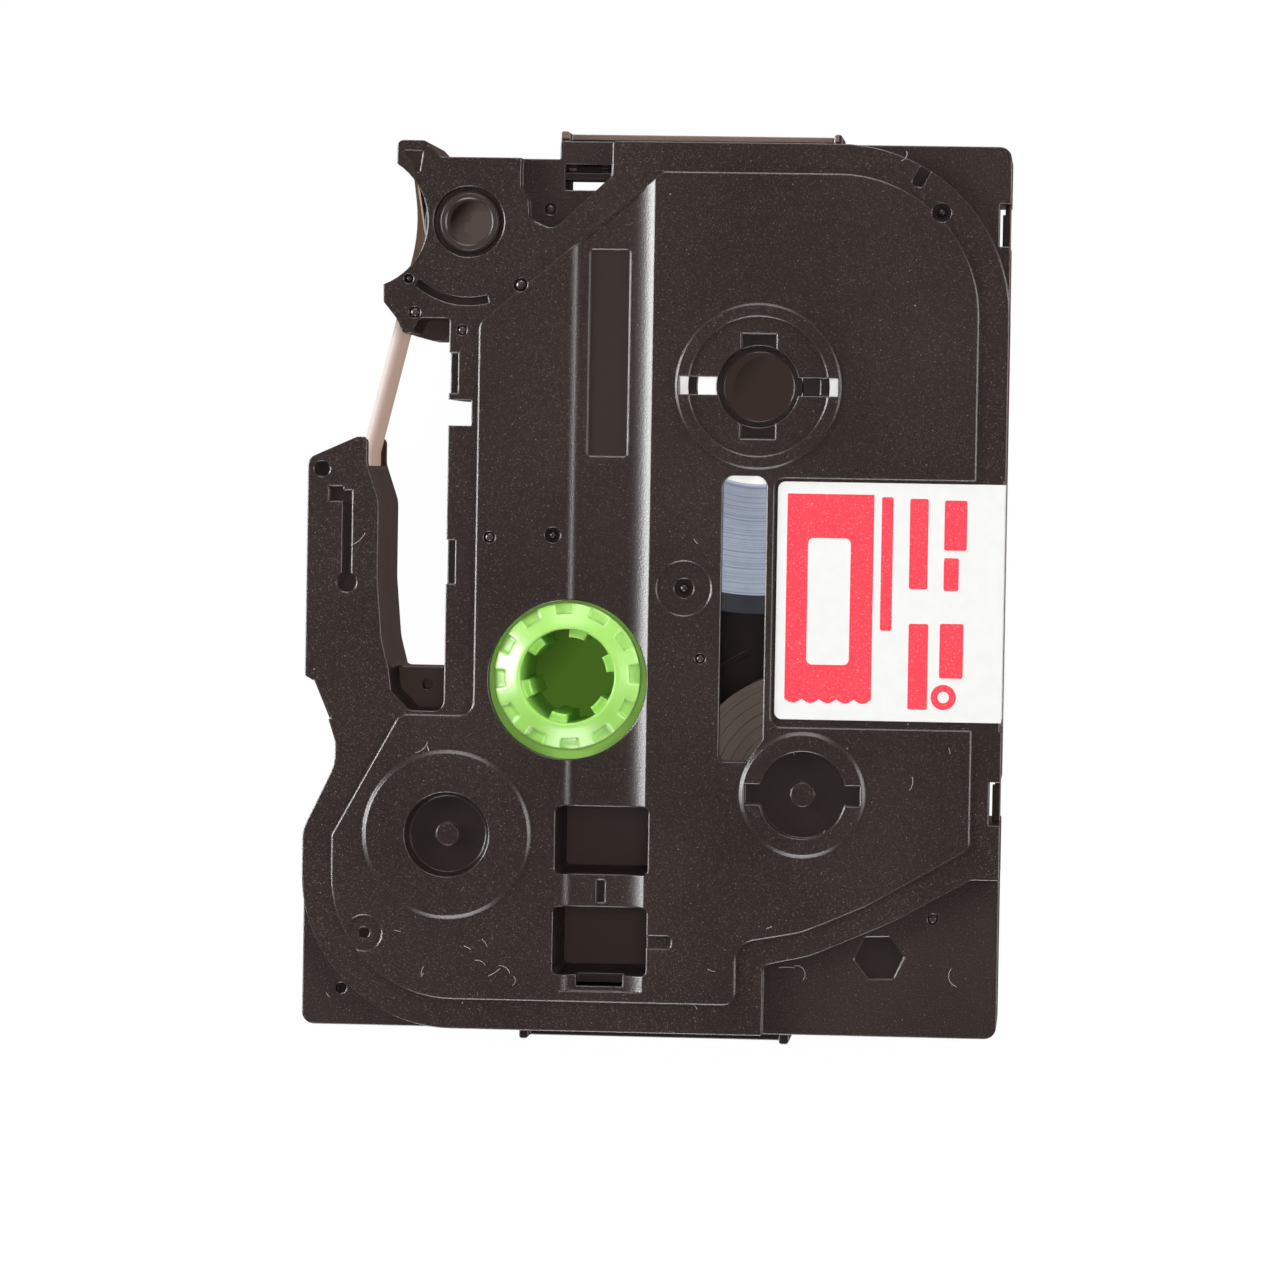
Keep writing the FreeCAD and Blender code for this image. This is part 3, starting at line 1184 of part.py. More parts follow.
def main():
    """Build every piece and write it."""
    os.makedirs("parts", exist_ok=True)
    write("lower_case", lower_case())
    write("upper_case", upper_case())
    write("label", label())
    write("drive_roller", drive_roller())
    write("take_up_spool", take_up_spool())
    write("take_up_clutch_spring", take_up_clutch_spring())
    write("taken_up_ribbon", wound_roll(TAKE_UP_AXIS, TAKE_UP_BARREL_R, TAKE_UP_ROLL_R, 1))
    write("ribbon_supply_spool", ribbon_supply_spool())
    write("ink_ribbon_roll", wound_roll(RIBBON_AXIS, RIBBON_SPOOL_R, RIBBON_ROLL_R, 2))
    write("base_tape_spool", base_tape_spool())
    write("base_tape_roll", wound_roll(BASE_AXIS, BASE_SPOOL_R, BASE_ROLL_R, 8))
    write("base_tape_lower_spacer", base_spacer(TAPE_LOW - SPACER_GAP - BASE_SPACER_T))
    write("base_tape_upper_spacer", base_spacer(TAPE_HIGH + SPACER_GAP))
    write("film_tape_spool", film_tape_spool())
    write("film_tape_roll", wound_roll(FILM_AXIS, FILM_SPOOL_R, FILM_ROLL_R, 5))
    write("film_guide_roller", film_guide_roller())
    write("film_tape_run", strip(FILM_PATH, FILM_T, TAPE_LOW, TAPE_HIGH))
    write("base_tape_run", strip(BASE_PATH, BASE_TAPE_T, TAPE_LOW, TAPE_HIGH))
    write("ink_ribbon_run", strip(RIBBON_PATH, RIBBON_T, TAPE_LOW, TAPE_HIGH))


main()
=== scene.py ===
import logging
import math
from dataclasses import dataclass, field
from enum import Enum
from typing import Any

import bmesh
import bpy
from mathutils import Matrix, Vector


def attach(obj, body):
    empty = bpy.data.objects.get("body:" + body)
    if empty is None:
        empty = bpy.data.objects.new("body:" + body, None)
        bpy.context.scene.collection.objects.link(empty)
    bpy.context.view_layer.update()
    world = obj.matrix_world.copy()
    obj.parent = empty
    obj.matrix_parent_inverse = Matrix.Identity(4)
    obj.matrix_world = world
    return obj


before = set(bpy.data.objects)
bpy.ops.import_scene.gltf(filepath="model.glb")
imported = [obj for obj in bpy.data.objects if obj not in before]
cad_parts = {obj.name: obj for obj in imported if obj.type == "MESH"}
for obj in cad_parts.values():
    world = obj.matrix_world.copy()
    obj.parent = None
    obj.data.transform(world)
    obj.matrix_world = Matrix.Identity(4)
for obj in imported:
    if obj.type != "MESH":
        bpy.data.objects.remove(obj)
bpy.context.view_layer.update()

# Label tape cassette: finishes, label print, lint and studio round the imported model.
# Everything is in metres in the model's own frame; sizes below are written in millimetres.

MM = 0.001
log = logging.getLogger("label_tape_cassette")
Place = tuple[float, float]
Links = dict[Any, Any]


class Level(Enum):
    """Heights of the faces that small pieces lie on, in millimetres."""

    PLATEAU = 16.0
    RIM = 15.6
    BAND = 15.35
    CORNER = 14.0
    LABEL = 15.72


class Body(Enum):
    """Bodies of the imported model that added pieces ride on."""

    CASE = "case"


def linear(hex_colour: str) -> tuple[float, float, float, float]:
    """Turn an sRGB hex colour into linear values.

    Args:
        hex_colour: Colour such as "#3A302E".

    Returns:
        Red, green, blue and alpha.
    """
    channels = []
    for start in (1, 3, 5):
        value = int(hex_colour[start:start + 2], 16) / 255.0
        channels.append(value / 12.92 if value <= 0.04045 else ((value + 0.055) / 1.055) ** 2.4)
    return (channels[0], channels[1], channels[2], 1.0)


def add_node(tree: bpy.types.NodeTree, kind: str, settings: dict[Any, Any] | None = None,
             links: Links | None = None) -> bpy.types.Node:
    """Add a shader node with its settings and incoming links.

    Args:
        tree: Node tree to add to.
        kind: Blender's node type name.
        settings: Input names or numbers, or node properties, and their values.
        links: Input names or numbers and the output sockets that feed them.

    Returns:
        The new node.
    """
    node = tree.nodes.new(kind)
    for key, value in (settings or {}).items():
        if isinstance(key, int) or key in node.inputs:
            node.inputs[key].default_value = value
        else:
            setattr(node, key, value)
    for key, source in (links or {}).items():
        tree.links.new(source, node.inputs[key])
    return node


def ramp(tree: bpy.types.NodeTree, source: bpy.types.NodeSocket, stops: list[tuple[float, str]]) -> bpy.types.NodeSocket:
    """Colour a value by stops.

    Args:
        tree: Node tree to add to.
        source: Socket with the value.
        stops: Positions from 0 to 1 and hex colours.

    Returns:
        Colour socket.
    """
    node = add_node(tree, "ShaderNodeValToRGB", links={"Fac": source})
    elements = node.color_ramp.elements
    while len(elements) < len(stops):
        elements.new(0.5)
    for element, (position, colour) in zip(elements, stops):
        element.position = position
        element.color = linear(colour)
    return node.outputs["Color"]


@dataclass(frozen=True)
class Finish:
    """A material that starts from what the real one is.

    Attributes:
        name: Name of the Blender material.
        colour: sRGB hex colour.
        roughness: Roughness of the main surface.
        ior: Index of refraction.
    """

    name: str = "finish"
    colour: str = "#808080"
    roughness: float = 0.5
    ior: float = 1.5

    def start(self) -> tuple[bpy.types.Material, bpy.types.NodeTree, bpy.types.Node, bpy.types.NodeSocket]:
        """Make the material with its main shader and coordinates in millimetres.

        Returns:
            Material, node tree, main shader and coordinate socket.
        """
        material = bpy.data.materials.new(self.name)
        material.use_nodes = True
        tree = material.node_tree
        tree.nodes.clear()
        shader = add_node(tree, "ShaderNodeBsdfPrincipled", {
            "Base Color": linear(self.colour), "Roughness": self.roughness, "IOR": self.ior})
        add_node(tree, "ShaderNodeOutputMaterial", links={"Surface": shader.outputs["BSDF"]})
        place = add_node(tree, "ShaderNodeTexCoord")
        scaled = add_node(tree, "ShaderNodeVectorMath", {"operation": "SCALE", "Scale": 1.0 / MM},
                          {0: place.outputs["Object"]})
        return material, tree, shader, scaled.outputs["Vector"]

    def build(self) -> bpy.types.Material:
        """Make the plain material."""
        return self.start()[0]


def noise(tree: bpy.types.NodeTree, place: bpy.types.NodeSocket, grain_mm: float, detail: float = 2.0,
          seed: float = 0.0) -> bpy.types.NodeSocket:
    """Noise whose grains are about as wide as a real size.

    Args:
        tree: Node tree to add to.
        place: Coordinates in millimetres.
        grain_mm: Width of a grain.
        detail: Octaves added to it.
        seed: Shift of the pattern.

    Returns:
        Value socket.
    """
    moved = add_node(tree, "ShaderNodeVectorMath", {"operation": "ADD", 1: (seed, seed * 1.7, seed * 0.6)}, {0: place})
    node = add_node(tree, "ShaderNodeTexNoise", {"Scale": 1.0 / grain_mm, "Detail": detail},
                    {"Vector": moved.outputs["Vector"]})
    return node.outputs["Fac"]


def times(tree: bpy.types.NodeTree, first: bpy.types.NodeSocket,
          second: bpy.types.NodeSocket | float) -> bpy.types.NodeSocket:
    """Multiply two values.

    Args:
        tree: Node tree to add to.
        first: Value socket.
        second: Value socket or number.

    Returns:
        Value socket.
    """
    node = add_node(tree, "ShaderNodeMath", {"operation": "MULTIPLY"}, {0: first})
    if isinstance(second, float):
        node.inputs[1].default_value = second
    else:
        tree.links.new(second, node.inputs[1])
    return node.outputs["Value"]


def mixed(tree: bpy.types.NodeTree, share: bpy.types.NodeSocket | float, first: Any, second: Any,
          how: str = "MIX") -> bpy.types.NodeSocket:
    """Mix two colours.

    Args:
        tree: Node tree to add to.
        share: Share of the second one, a socket or a number.
        first: Colour socket or colour.
        second: Colour socket or colour.
        how: Blender's name for the blend.

    Returns:
        Colour socket.
    """
    node = add_node(tree, "ShaderNodeMix", {"data_type": "RGBA", "blend_type": how})
    for index, value in ((0, share), (6, first), (7, second)):
        if isinstance(value, bpy.types.NodeSocket):
            tree.links.new(value, node.inputs[index])
        else:
            node.inputs[index].default_value = value
    return node.outputs[2]


def dust_mask(tree: bpy.types.NodeTree, place: bpy.types.NodeSocket, spacing_mm: float, speck_mm: float,
              share: float) -> bpy.types.NodeSocket:
    """Small round specks on a share of the cells of a pattern.

    Args:
        tree: Node tree to add to.
        place: Coordinates in millimetres.
        spacing_mm: Distance between cells.
        speck_mm: Radius of a speck.
        share: Share of the cells that hold a speck.

    Returns:
        Value socket, 1 on a speck.
    """
    cells = add_node(tree, "ShaderNodeTexVoronoi", {"Scale": 1.0 / spacing_mm}, {"Vector": place})
    near = add_node(tree, "ShaderNodeMath", {"operation": "LESS_THAN", 1: speck_mm / spacing_mm},
                    {0: cells.outputs["Distance"]})
    parts = add_node(tree, "ShaderNodeSeparateColor", links={"Color": cells.outputs["Color"]})
    chosen = add_node(tree, "ShaderNodeMath", {"operation": "LESS_THAN", 1: share}, {0: parts.outputs["Red"]})
    both = add_node(tree, "ShaderNodeMath", {"operation": "MULTIPLY"},
                    {0: near.outputs["Value"], 1: chosen.outputs["Value"]})
    return both.outputs["Value"]


def down_bore(tree: bpy.types.NodeTree, place: bpy.types.NodeSocket, axis: Place, radius: float) -> bpy.types.NodeSocket:
    """Painted shade from the dark side of a bore to the side that the lens ring lights at a slant.

    Args:
        tree: Node tree to add to.
        place: Coordinates in millimetres.
        axis: Axis of the bore.
        radius: Its radius.

    Returns:
        Value socket, 0 on the dark side and 1 on the lit one.
    """
    toward = (0.8, -0.6, -0.106)
    start = -toward[0] * axis[0] - toward[1] * axis[1] - toward[2] * Level.PLATEAU.value
    along = add_node(tree, "ShaderNodeVectorMath", {"operation": "DOT_PRODUCT", 1: toward}, {0: place})
    return add_node(tree, "ShaderNodeMapRange", {"From Min": -radius - start, "From Max": radius - start},
                    {"Value": along.outputs["Value"]}).outputs["Result"]


@dataclass(frozen=True)
class Box:
    """A box in millimetres that a finish treats by itself.

    Attributes:
        middle: Middle of the box.
        half: Half its size.
    """

    middle: tuple[float, float, float]
    half: tuple[float, float, float]

    def mask(self, tree: bpy.types.NodeTree, place: bpy.types.NodeSocket) -> bpy.types.NodeSocket:
        """Give 1 inside the box and 0 outside it.

        Args:
            tree: Node tree to add to.
            place: Coordinates in millimetres.

        Returns:
            Value socket.
        """
        parts = add_node(tree, "ShaderNodeSeparateXYZ", links={"Vector": place})
        inside = [
            add_node(tree, "ShaderNodeMath", {"operation": "COMPARE", 1: self.middle[i], 2: self.half[i]},
                     {0: parts.outputs[i]}).outputs["Value"]
            for i in range(3)
        ]
        return times(tree, times(tree, inside[0], inside[1]), inside[2])


@dataclass(frozen=True)
class MouldedPolystyrene(Finish):
    """Black-brown polystyrene: top faces spark-eroded to a fine matt grain, sunk ones polished; painted light in
    places.

    Attributes:
        polished: Colour of the sunk, smooth faces.
        wear_and_painted_highlight: Painted highlight colour, laid thinly on the softened, worn edges.
        speck_colour: Dust.
        wall_shine: Specular level of upright walls, which stay dull.
        grain_depth: Strength of the grain.
        grain_mm: Width of a grain.
        edge_mm: Radius that edges are softened to.
        lit: Low places given painted light, standing for the lens ring's light that comes back there, and their colour.
        bore: The base reel's hub hole, whose walls get a painted glow standing for the light they pass down.
        painted_bore_glow: Colour of that painted glow.
    """

    name: str = "moulded_polystyrene"
    colour: str = "#2D2320"
    polished: str = "#251C19"
    wear_and_painted_highlight: str = "#8A7F7A"
    speck_colour: str = "#B5AFAB"
    wall_shine: float = 0.06
    grain_depth: float = 1.0
    roughness: float = 0.31
    ior: float = 1.5
    grain_mm: float = 0.14
    edge_mm: float = 0.22
    lit: tuple[tuple[Box, str], ...] = (
        (Box((-4.2, -26.3, 3.0), (4.3, 7.6, 4.6)), "#41332E"),
        (Box((-21.7, 36.9, 14.9), (1.4, 1.5, 0.5)), "#3A302C"),
        (Box((-4.15, 20.7, 15.05), (1.85, 9.1, 0.1)), "#2E2421"),
        (Box((3.0, 39.8, 11.5), (12.4, 0.5, 0.1)), "#6A5A52"),
        (Box((3.0, 39.8, 13.6), (12.4, 0.5, 0.1)), "#6A5A52"),
        (Box((-20.6, -8.6, 3.0), (2.6, 2.6, 6.0)), "#42352F"),
        (Box((-19.6, 22.9, 5.0), (2.5, 2.0, 7.0)), "#40342E"),
    )
    bore: Box = Box((8.83, 17.87, 6.5), (3.7, 3.7, 6.5))
    painted_bore_glow: str = "#2F2522"

    def eroded(self, tree: bpy.types.NodeTree, place: bpy.types.NodeSocket) -> bpy.types.NodeSocket:
        """Mask of the grained faces: the raised face and the tops of the low corners.

        Args:
            tree: Node tree to add to.
            place: Coordinates in millimetres.

        Returns:
            Value socket, 1 where the mould was eroded.
        """
        height = add_node(tree, "ShaderNodeSeparateXYZ", links={"Vector": place}).outputs["Z"]
        face = add_node(tree, "ShaderNodeMath", {"operation": "GREATER_THAN", 1: Level.BAND.value - 0.03}, {0: height})
        low = add_node(tree, "ShaderNodeMath", {"operation": "COMPARE", 1: Level.CORNER.value, 2: 0.05}, {0: height})
        either = add_node(tree, "ShaderNodeMath", {"operation": "MAXIMUM"},
                          {0: face.outputs["Value"], 1: low.outputs["Value"]})
        normal = add_node(tree, "ShaderNodeNewGeometry").outputs["True Normal"]
        tilt = add_node(tree, "ShaderNodeSeparateXYZ", links={"Vector": normal}).outputs["Z"]
        upward = add_node(tree, "ShaderNodeMath", {"operation": "GREATER_THAN", 1: 0.5}, {0: tilt})
        return times(tree, either.outputs["Value"], upward.outputs["Value"])

    def edges(self, tree: bpy.types.NodeTree, rounded: bpy.types.NodeSocket) -> bpy.types.NodeSocket:
        """Mask of the softened edges, where handling has polished the plastic and where a painted highlight is laid on.

        Args:
            tree: Node tree to add to.
            rounded: Normal with softened edges.

        Returns:
            Value socket, 1 on an edge.
        """
        plain = add_node(tree, "ShaderNodeNewGeometry").outputs["Normal"]
        likeness = add_node(tree, "ShaderNodeVectorMath", {"operation": "DOT_PRODUCT"}, {0: rounded, 1: plain})
        return add_node(tree, "ShaderNodeMapRange", {"From Min": 0.995, "From Max": 0.93},
                        {"Value": likeness.outputs["Value"]}).outputs["Result"]

    def build(self) -> bpy.types.Material:
        """Make the case material.

        Returns:
            The material.
        """
        material, tree, shader, place = self.start()
        eroded = self.eroded(tree, place)
        # The grain of the mould is tone that differs at random, with painted glints on its brightest tops: real grains
        # are 0.05 mm, drawn 0.14 mm to show.
        grain = noise(tree, place, self.grain_mm, 3.0)
        cloud = noise(tree, place, 14.0, 2.0, 5.0)
        tone = ramp(tree, grain, [(0.30, "#231A17"), (0.54, self.colour), (0.64, "#3B302B"), (0.76, "#6A5E59")])
        patch = ramp(tree, cloud, [(0.35, "#E2DEDC"), (0.65, "#FFFFFF")])
        matt = mixed(tree, 1.0, tone, patch, "MULTIPLY")
        body = mixed(tree, eroded, linear(self.polished), matt)
        # Painted light in the low places.
        for box, colour in self.lit:
            body = mixed(tree, box.mask(tree, place), body, linear(colour))
        # Painted glow down the hub hole.
        in_bore = self.bore.mask(tree, place)
        tree.links.new(in_bore, shader.inputs["Emission Strength"])
        shader.inputs["Emission Color"].default_value = linear(self.painted_bore_glow)
        small = dust_mask(tree, place, 0.6, 0.042, 0.35)
        large = dust_mask(tree, place, 2.7, 0.075, 0.4)
        specks = add_node(tree, "ShaderNodeMath", {"operation": "MAXIMUM"}, {0: small, 1: large}).outputs["Value"]
        settled = times(tree, times(tree, specks, eroded), 0.42)
        dusty = mixed(tree, settled, body, linear(self.speck_colour))
        rounded = add_node(tree, "ShaderNodeBevel", {"samples": 8, "Radius": self.edge_mm * MM})
        wear_and_painted_highlight = self.edges(tree, rounded.outputs["Normal"])
        # Painted highlight: the softened edges are lightened a little; they are also glossier from handling.
        tree.links.new(mixed(tree, times(tree, wear_and_painted_highlight, 0.08), dusty, linear(self.wear_and_painted_highlight)), shader.inputs["Base Color"])
        face = add_node(tree, "ShaderNodeMapRange", {"To Min": 0.28, "To Max": self.roughness}, {"Value": eroded})
        gloss = add_node(tree, "ShaderNodeMapRange", {"To Max": 0.2}, {"Value": wear_and_painted_highlight, "To Min": face.outputs["Result"]})
        tree.links.new(gloss.outputs["Result"], shader.inputs["Roughness"])
        tilt = add_node(tree, "ShaderNodeSeparateXYZ", links={"Vector": rounded.outputs["Normal"]}).outputs["Z"]
        shine = add_node(tree, "ShaderNodeMapRange", {"From Max": 0.35, "To Min": self.wall_shine, "To Max": 0.42},
                         {"Value": tilt})
        tree.links.new(shine.outputs["Result"], shader.inputs["Specular IOR Level"])
        depth = times(tree, eroded, self.grain_depth)
        bump = add_node(tree, "ShaderNodeBump", {"Distance": 0.02 * MM},
                        {"Height": grain, "Normal": rounded.outputs["Normal"], "Strength": depth})
        tree.links.new(bump.outputs["Normal"], shader.inputs["Normal"])
        return material


@dataclass(frozen=True)
class CoatedLabelStock(Finish):
    """White coated paper label: almost even, with a faint fibre cloud and a dull sheen."""

    name: str = "coated_label_stock"
    colour: str = "#DBDBD9"
    roughness: float = 0.55
    ior: float = 1.45

    def build(self) -> bpy.types.Material:
        """Make the label material."""
        material, tree, shader, place = self.start()
        cloud = noise(tree, place, 1.2, 4.0)
        tree.links.new(ramp(tree, cloud, [(0.3, "#D7D7D5"), (0.7, self.colour)]), shader.inputs["Base Color"])
        return material


@dataclass(frozen=True)
class PrintedInk(Finish):
    """Flat red ink printed in one pass: the stock shows through in fine pinholes."""

    name: str = "printed_red_ink"
    colour: str = "#F2404F"
    roughness: float = 0.5
    ior: float = 1.45

    def build(self) -> bpy.types.Material:
        """Make the ink material."""
        material, tree, shader, place = self.start()
        # Pinholes of the screen are 0.08 mm, drawn 0.14 mm to show.
        screen = noise(tree, place, 0.14, 2.0)
        cloud = noise(tree, place, 3.0, 2.0, 9.0)
        tone = ramp(tree, screen, [(0.34, "#EE3446"), (0.62, self.colour), (0.74, "#FA8E92")])
        soft = ramp(tree, cloud, [(0.3, "#F6F1F1"), (0.7, "#FFFFFF")])
        tree.links.new(mixed(tree, 1.0, tone, soft, "MULTIPLY"), shader.inputs["Base Color"])
        return material


@dataclass(frozen=True)
class GreenAcetal(Finish):
    """Bright green moulded acetal: waxy, light travels a little way into it, with soft wide highlights.

    Attributes:
        dark: Darker colour of its faint cloud.
        axis_mm: Axis of the spool.
        crown: How far the top of its ring falls away outward.
    """

    name: str = "green_acetal"
    colour: str = "#A6DA70"
    dark: str = "#9AD262"
    roughness: float = 0.3
    ior: float = 1.48
    axis_mm: Place = (-7.40, -7.62)
    crown: float = 0.42

    def build(self) -> bpy.types.Material:
        """Make the green plastic."""
        material, tree, shader, place = self.start()
        cloud = noise(tree, place, 2.5, 3.0)
        tree.links.new(ramp(tree, cloud, [(0.3, self.dark), (0.7, self.colour)]), shader.inputs["Base Color"])
        shader.inputs["Subsurface Weight"].default_value = 0.3
        shader.inputs["Subsurface Radius"].default_value = (0.5, 1.0, 0.25)
        shader.inputs["Subsurface Scale"].default_value = 0.8 * MM
        rounded = add_node(tree, "ShaderNodeBevel", {"samples": 12, "Radius": 0.45 * MM})
        flat = add_node(tree, "ShaderNodeVectorMath",
                        {"operation": "MULTIPLY_ADD", 1: (1.0, 1.0, 0.0), 2: (-self.axis_mm[0], -self.axis_mm[1], 0.0)},
                        {0: place})
        outward = add_node(tree, "ShaderNodeVectorMath", {"operation": "NORMALIZE"}, {0: flat.outputs["Vector"]})
        upward = add_node(tree, "ShaderNodeSeparateXYZ", links={"Vector": rounded.outputs["Normal"]}).outputs["Z"]
        fall = add_node(tree, "ShaderNodeMapRange", {"From Min": 0.7, "From Max": 0.95, "To Max": self.crown},
                        {"Value": upward})
        leaned = add_node(tree, "ShaderNodeVectorMath", {"operation": "SCALE"},
                          {0: outward.outputs["Vector"], "Scale": fall.outputs["Result"]})
        crowned = add_node(tree, "ShaderNodeVectorMath", {"operation": "ADD"},
                           {0: rounded.outputs["Normal"], 1: leaned.outputs["Vector"]})
        normal = add_node(tree, "ShaderNodeVectorMath", {"operation": "NORMALIZE"}, {0: crowned.outputs["Vector"]})
        fine = noise(tree, place, 0.3, 2.0, 3.0)
        bump = add_node(tree, "ShaderNodeBump", {"Strength": 0.12, "Distance": 0.02 * MM},
                        {"Height": fine, "Normal": normal.outputs["Vector"]})
        tree.links.new(bump.outputs["Normal"], shader.inputs["Normal"])
        return material


@dataclass(frozen=True)
class RoundedPlastic(Finish):
    """Moulded plastic with softened edges and a faint mottle, for spools and the roller; it can carry a painted glow,
    painted shade in a notch and painted shade and light down its bore.

    Attributes:
        edge_mm: Radius that edges are softened to.
        dark: Darker colour of the mottle.
        painted_glow: Painted glow, standing for light that the plastic carries inside it to where little falls on it.
        axis_mm: Axis of its bore.
        bore_r_mm: Radius of the bore.
        bore_mm: Height below which only the bore is seen, given painted shade and light in place of the light from its
            own wall.
        painted_bore_light: Middle colour of that painted shade and light.
        painted_notch_shade: Box of painted deep shade in a notch, if there is one.
    """

    edge_mm: float = 0.12
    dark: str = "#D8D6D2"
    painted_glow: float = 0.0
    axis_mm: Place = (0.0, 0.0)
    bore_r_mm: float = 2.05
    bore_mm: float = -1.0
    painted_bore_light: str = "#4A3F3B"
    painted_notch_shade: Box | None = None

    def build(self) -> bpy.types.Material:
        """Make the plastic."""
        material, tree, shader, place = self.start()
        cloud = noise(tree, place, 1.5, 3.0)
        tone = ramp(tree, cloud, [(0.3, self.dark), (0.7, self.colour)])
        # Painted deep shade in the notch's box.
        if self.painted_notch_shade:
            tone = mixed(tree, self.painted_notch_shade.mask(tree, place), tone, linear("#1E1614"))
        height = add_node(tree, "ShaderNodeSeparateXYZ", links={"Vector": place}).outputs["Z"]
        below = add_node(tree, "ShaderNodeMapRange", {"From Min": self.bore_mm + 1.0, "From Max": self.bore_mm},
                         {"Value": height}).outputs["Result"]
        from_axis = add_node(tree, "ShaderNodeVectorMath",
                             {"operation": "MULTIPLY_ADD", 1: (1.0, 1.0, 0.0), 2: (-self.axis_mm[0], -self.axis_mm[1], 0.0)},
                             {0: place})
        radius = add_node(tree, "ShaderNodeVectorMath", {"operation": "LENGTH"}, {0: from_axis.outputs["Vector"]})
        inner = add_node(tree, "ShaderNodeMath", {"operation": "LESS_THAN", 1: self.bore_r_mm},
                         {0: radius.outputs["Value"]})
        deep = times(tree, below, inner.outputs["Value"])
        # Down the bore the colour is black; painted shade and light glow in its place, dark on one side.
        tree.links.new(mixed(tree, deep, tone, (0.0, 0.0, 0.0, 1.0)), shader.inputs["Base Color"])
        shade = down_bore(tree, place, self.axis_mm, self.bore_r_mm)
        shaded = ramp(tree, shade, [(0.2, "#1F1715"), (0.5, self.painted_bore_light), (1.0, "#564A46")])
        tree.links.new(mixed(tree, deep, tone, shaded), shader.inputs["Emission Color"])
        # Painted glow: some over the whole piece, full down the bore.
        glow = add_node(tree, "ShaderNodeMapRange", {"To Min": self.painted_glow, "To Max": 1.0}, {"Value": deep})
        tree.links.new(glow.outputs["Result"], shader.inputs["Emission Strength"])
        shine = add_node(tree, "ShaderNodeMapRange", {"To Min": 0.5, "To Max": 0.0}, {"Value": deep})
        tree.links.new(shine.outputs["Result"], shader.inputs["Specular IOR Level"])
        rounded = add_node(tree, "ShaderNodeBevel", {"samples": 8, "Radius": self.edge_mm * MM})
        tree.links.new(rounded.outputs["Normal"], shader.inputs["Normal"])
        return material


@dataclass(frozen=True)
class WoundTurns(Finish):
    """Side of a tight roll: hundreds of tape edges that read as fine rings, some darker than others.

    Attributes:
        dark: Colour of the darker turns.
        axis_mm: Axis of the roll.
        turn_mm: Width of a drawn ring.
        painted_glow: Painted glow, standing for light that comes through the clear layers from the side.
    """

    dark: str = "#6E8094"
    axis_mm: Place = (0.0, 0.0)
    turn_mm: float = 0.22
    painted_glow: float = 0.0

    def build(self) -> bpy.types.Material:
        """Make the wound roll.

        Returns:
            The material.
        """
        material, tree, shader, place = self.start()
        middle = add_node(tree, "ShaderNodeVectorMath", {"operation": "SUBTRACT", 1: (*self.axis_mm, 0.0)}, {0: place})
        flat = add_node(tree, "ShaderNodeVectorMath", {"operation": "MULTIPLY", 1: (1.0, 1.0, 0.0)},
                        {0: middle.outputs["Vector"]})
        radius = add_node(tree, "ShaderNodeVectorMath", {"operation": "LENGTH"}, {0: flat.outputs["Vector"]})
        # A turn is 0.14 mm thick; rings are drawn at 0.22 mm and in wider groups so that they show.
        line = add_node(tree, "ShaderNodeTexNoise",
                        {"noise_dimensions": "1D", "Scale": 1.0 / self.turn_mm, "Detail": 3.0},
                        {"W": radius.outputs["Value"]})
        tone = ramp(tree, line.outputs["Fac"], [(0.34, self.dark), (0.52, self.colour)])
        tree.links.new(tone, shader.inputs["Base Color"])
        # The roll glows in its own tone as painted light.
        tree.links.new(tone, shader.inputs["Emission Color"])
        shader.inputs["Emission Strength"].default_value = self.painted_glow
        bump = add_node(tree, "ShaderNodeBump", {"Strength": 0.25, "Distance": 0.02 * MM},
                        {"Height": line.outputs["Fac"]})
        tree.links.new(bump.outputs["Normal"], shader.inputs["Normal"])
        return material


@dataclass(frozen=True)
class LeaningTape(Finish):
    """Laminating film that crosses the head gap: milky along its upper edge, painted shade in warm brown lower down and
    near the roller head, and a painted glow.

    Attributes:
        shaded: Colour of the painted shade on the lower edge.
        heights_mm: Heights between which the painted shade turns to milky.
        head_mm: Where along +Y the painted shade of the roller head starts and ends.
    """

    name: str = "laminating_film"
    colour: str = "#E2D6D0"
    shaded: str = "#A98F7F"
    roughness: float = 0.25
    ior: float = 1.3
    heights_mm: tuple[float, float] = (3.0, 13.5)
    head_mm: tuple[float, float] = (21.5, 24.5)

    def build(self) -> bpy.types.Material:
        """Make the film."""
        material, tree, shader, place = self.start()
        parts = add_node(tree, "ShaderNodeSeparateXYZ", links={"Vector": place})
        share = add_node(tree, "ShaderNodeMapRange", {"From Min": self.heights_mm[0], "From Max": self.heights_mm[1]},
                         {"Value": parts.outputs["Z"]})
        # Painted shade: brown low on the film, milky high up, darker near the roller head.
        tone = ramp(tree, share.outputs["Result"], [(0.0, self.shaded), (0.55, "#AE9588"), (0.8, "#C8B5AB"),
                                                    (1.0, self.colour)])
        near_head = add_node(tree, "ShaderNodeMapRange", {"From Min": self.head_mm[0], "From Max": self.head_mm[1]},
                             {"Value": parts.outputs["Y"]})
        tone = mixed(tree, near_head.outputs["Result"], tone, linear("#5C4A42"))
        # The film's own colour is kept dark and its tone glows as painted light.
        tree.links.new(mixed(tree, 0.75, tone, (0.0, 0.0, 0.0, 1.0)), shader.inputs["Base Color"])
        tree.links.new(tone, shader.inputs["Emission Color"])
        shader.inputs["Specular IOR Level"].default_value = 0.1
        shader.inputs["Emission Strength"].default_value = 0.85
        return material


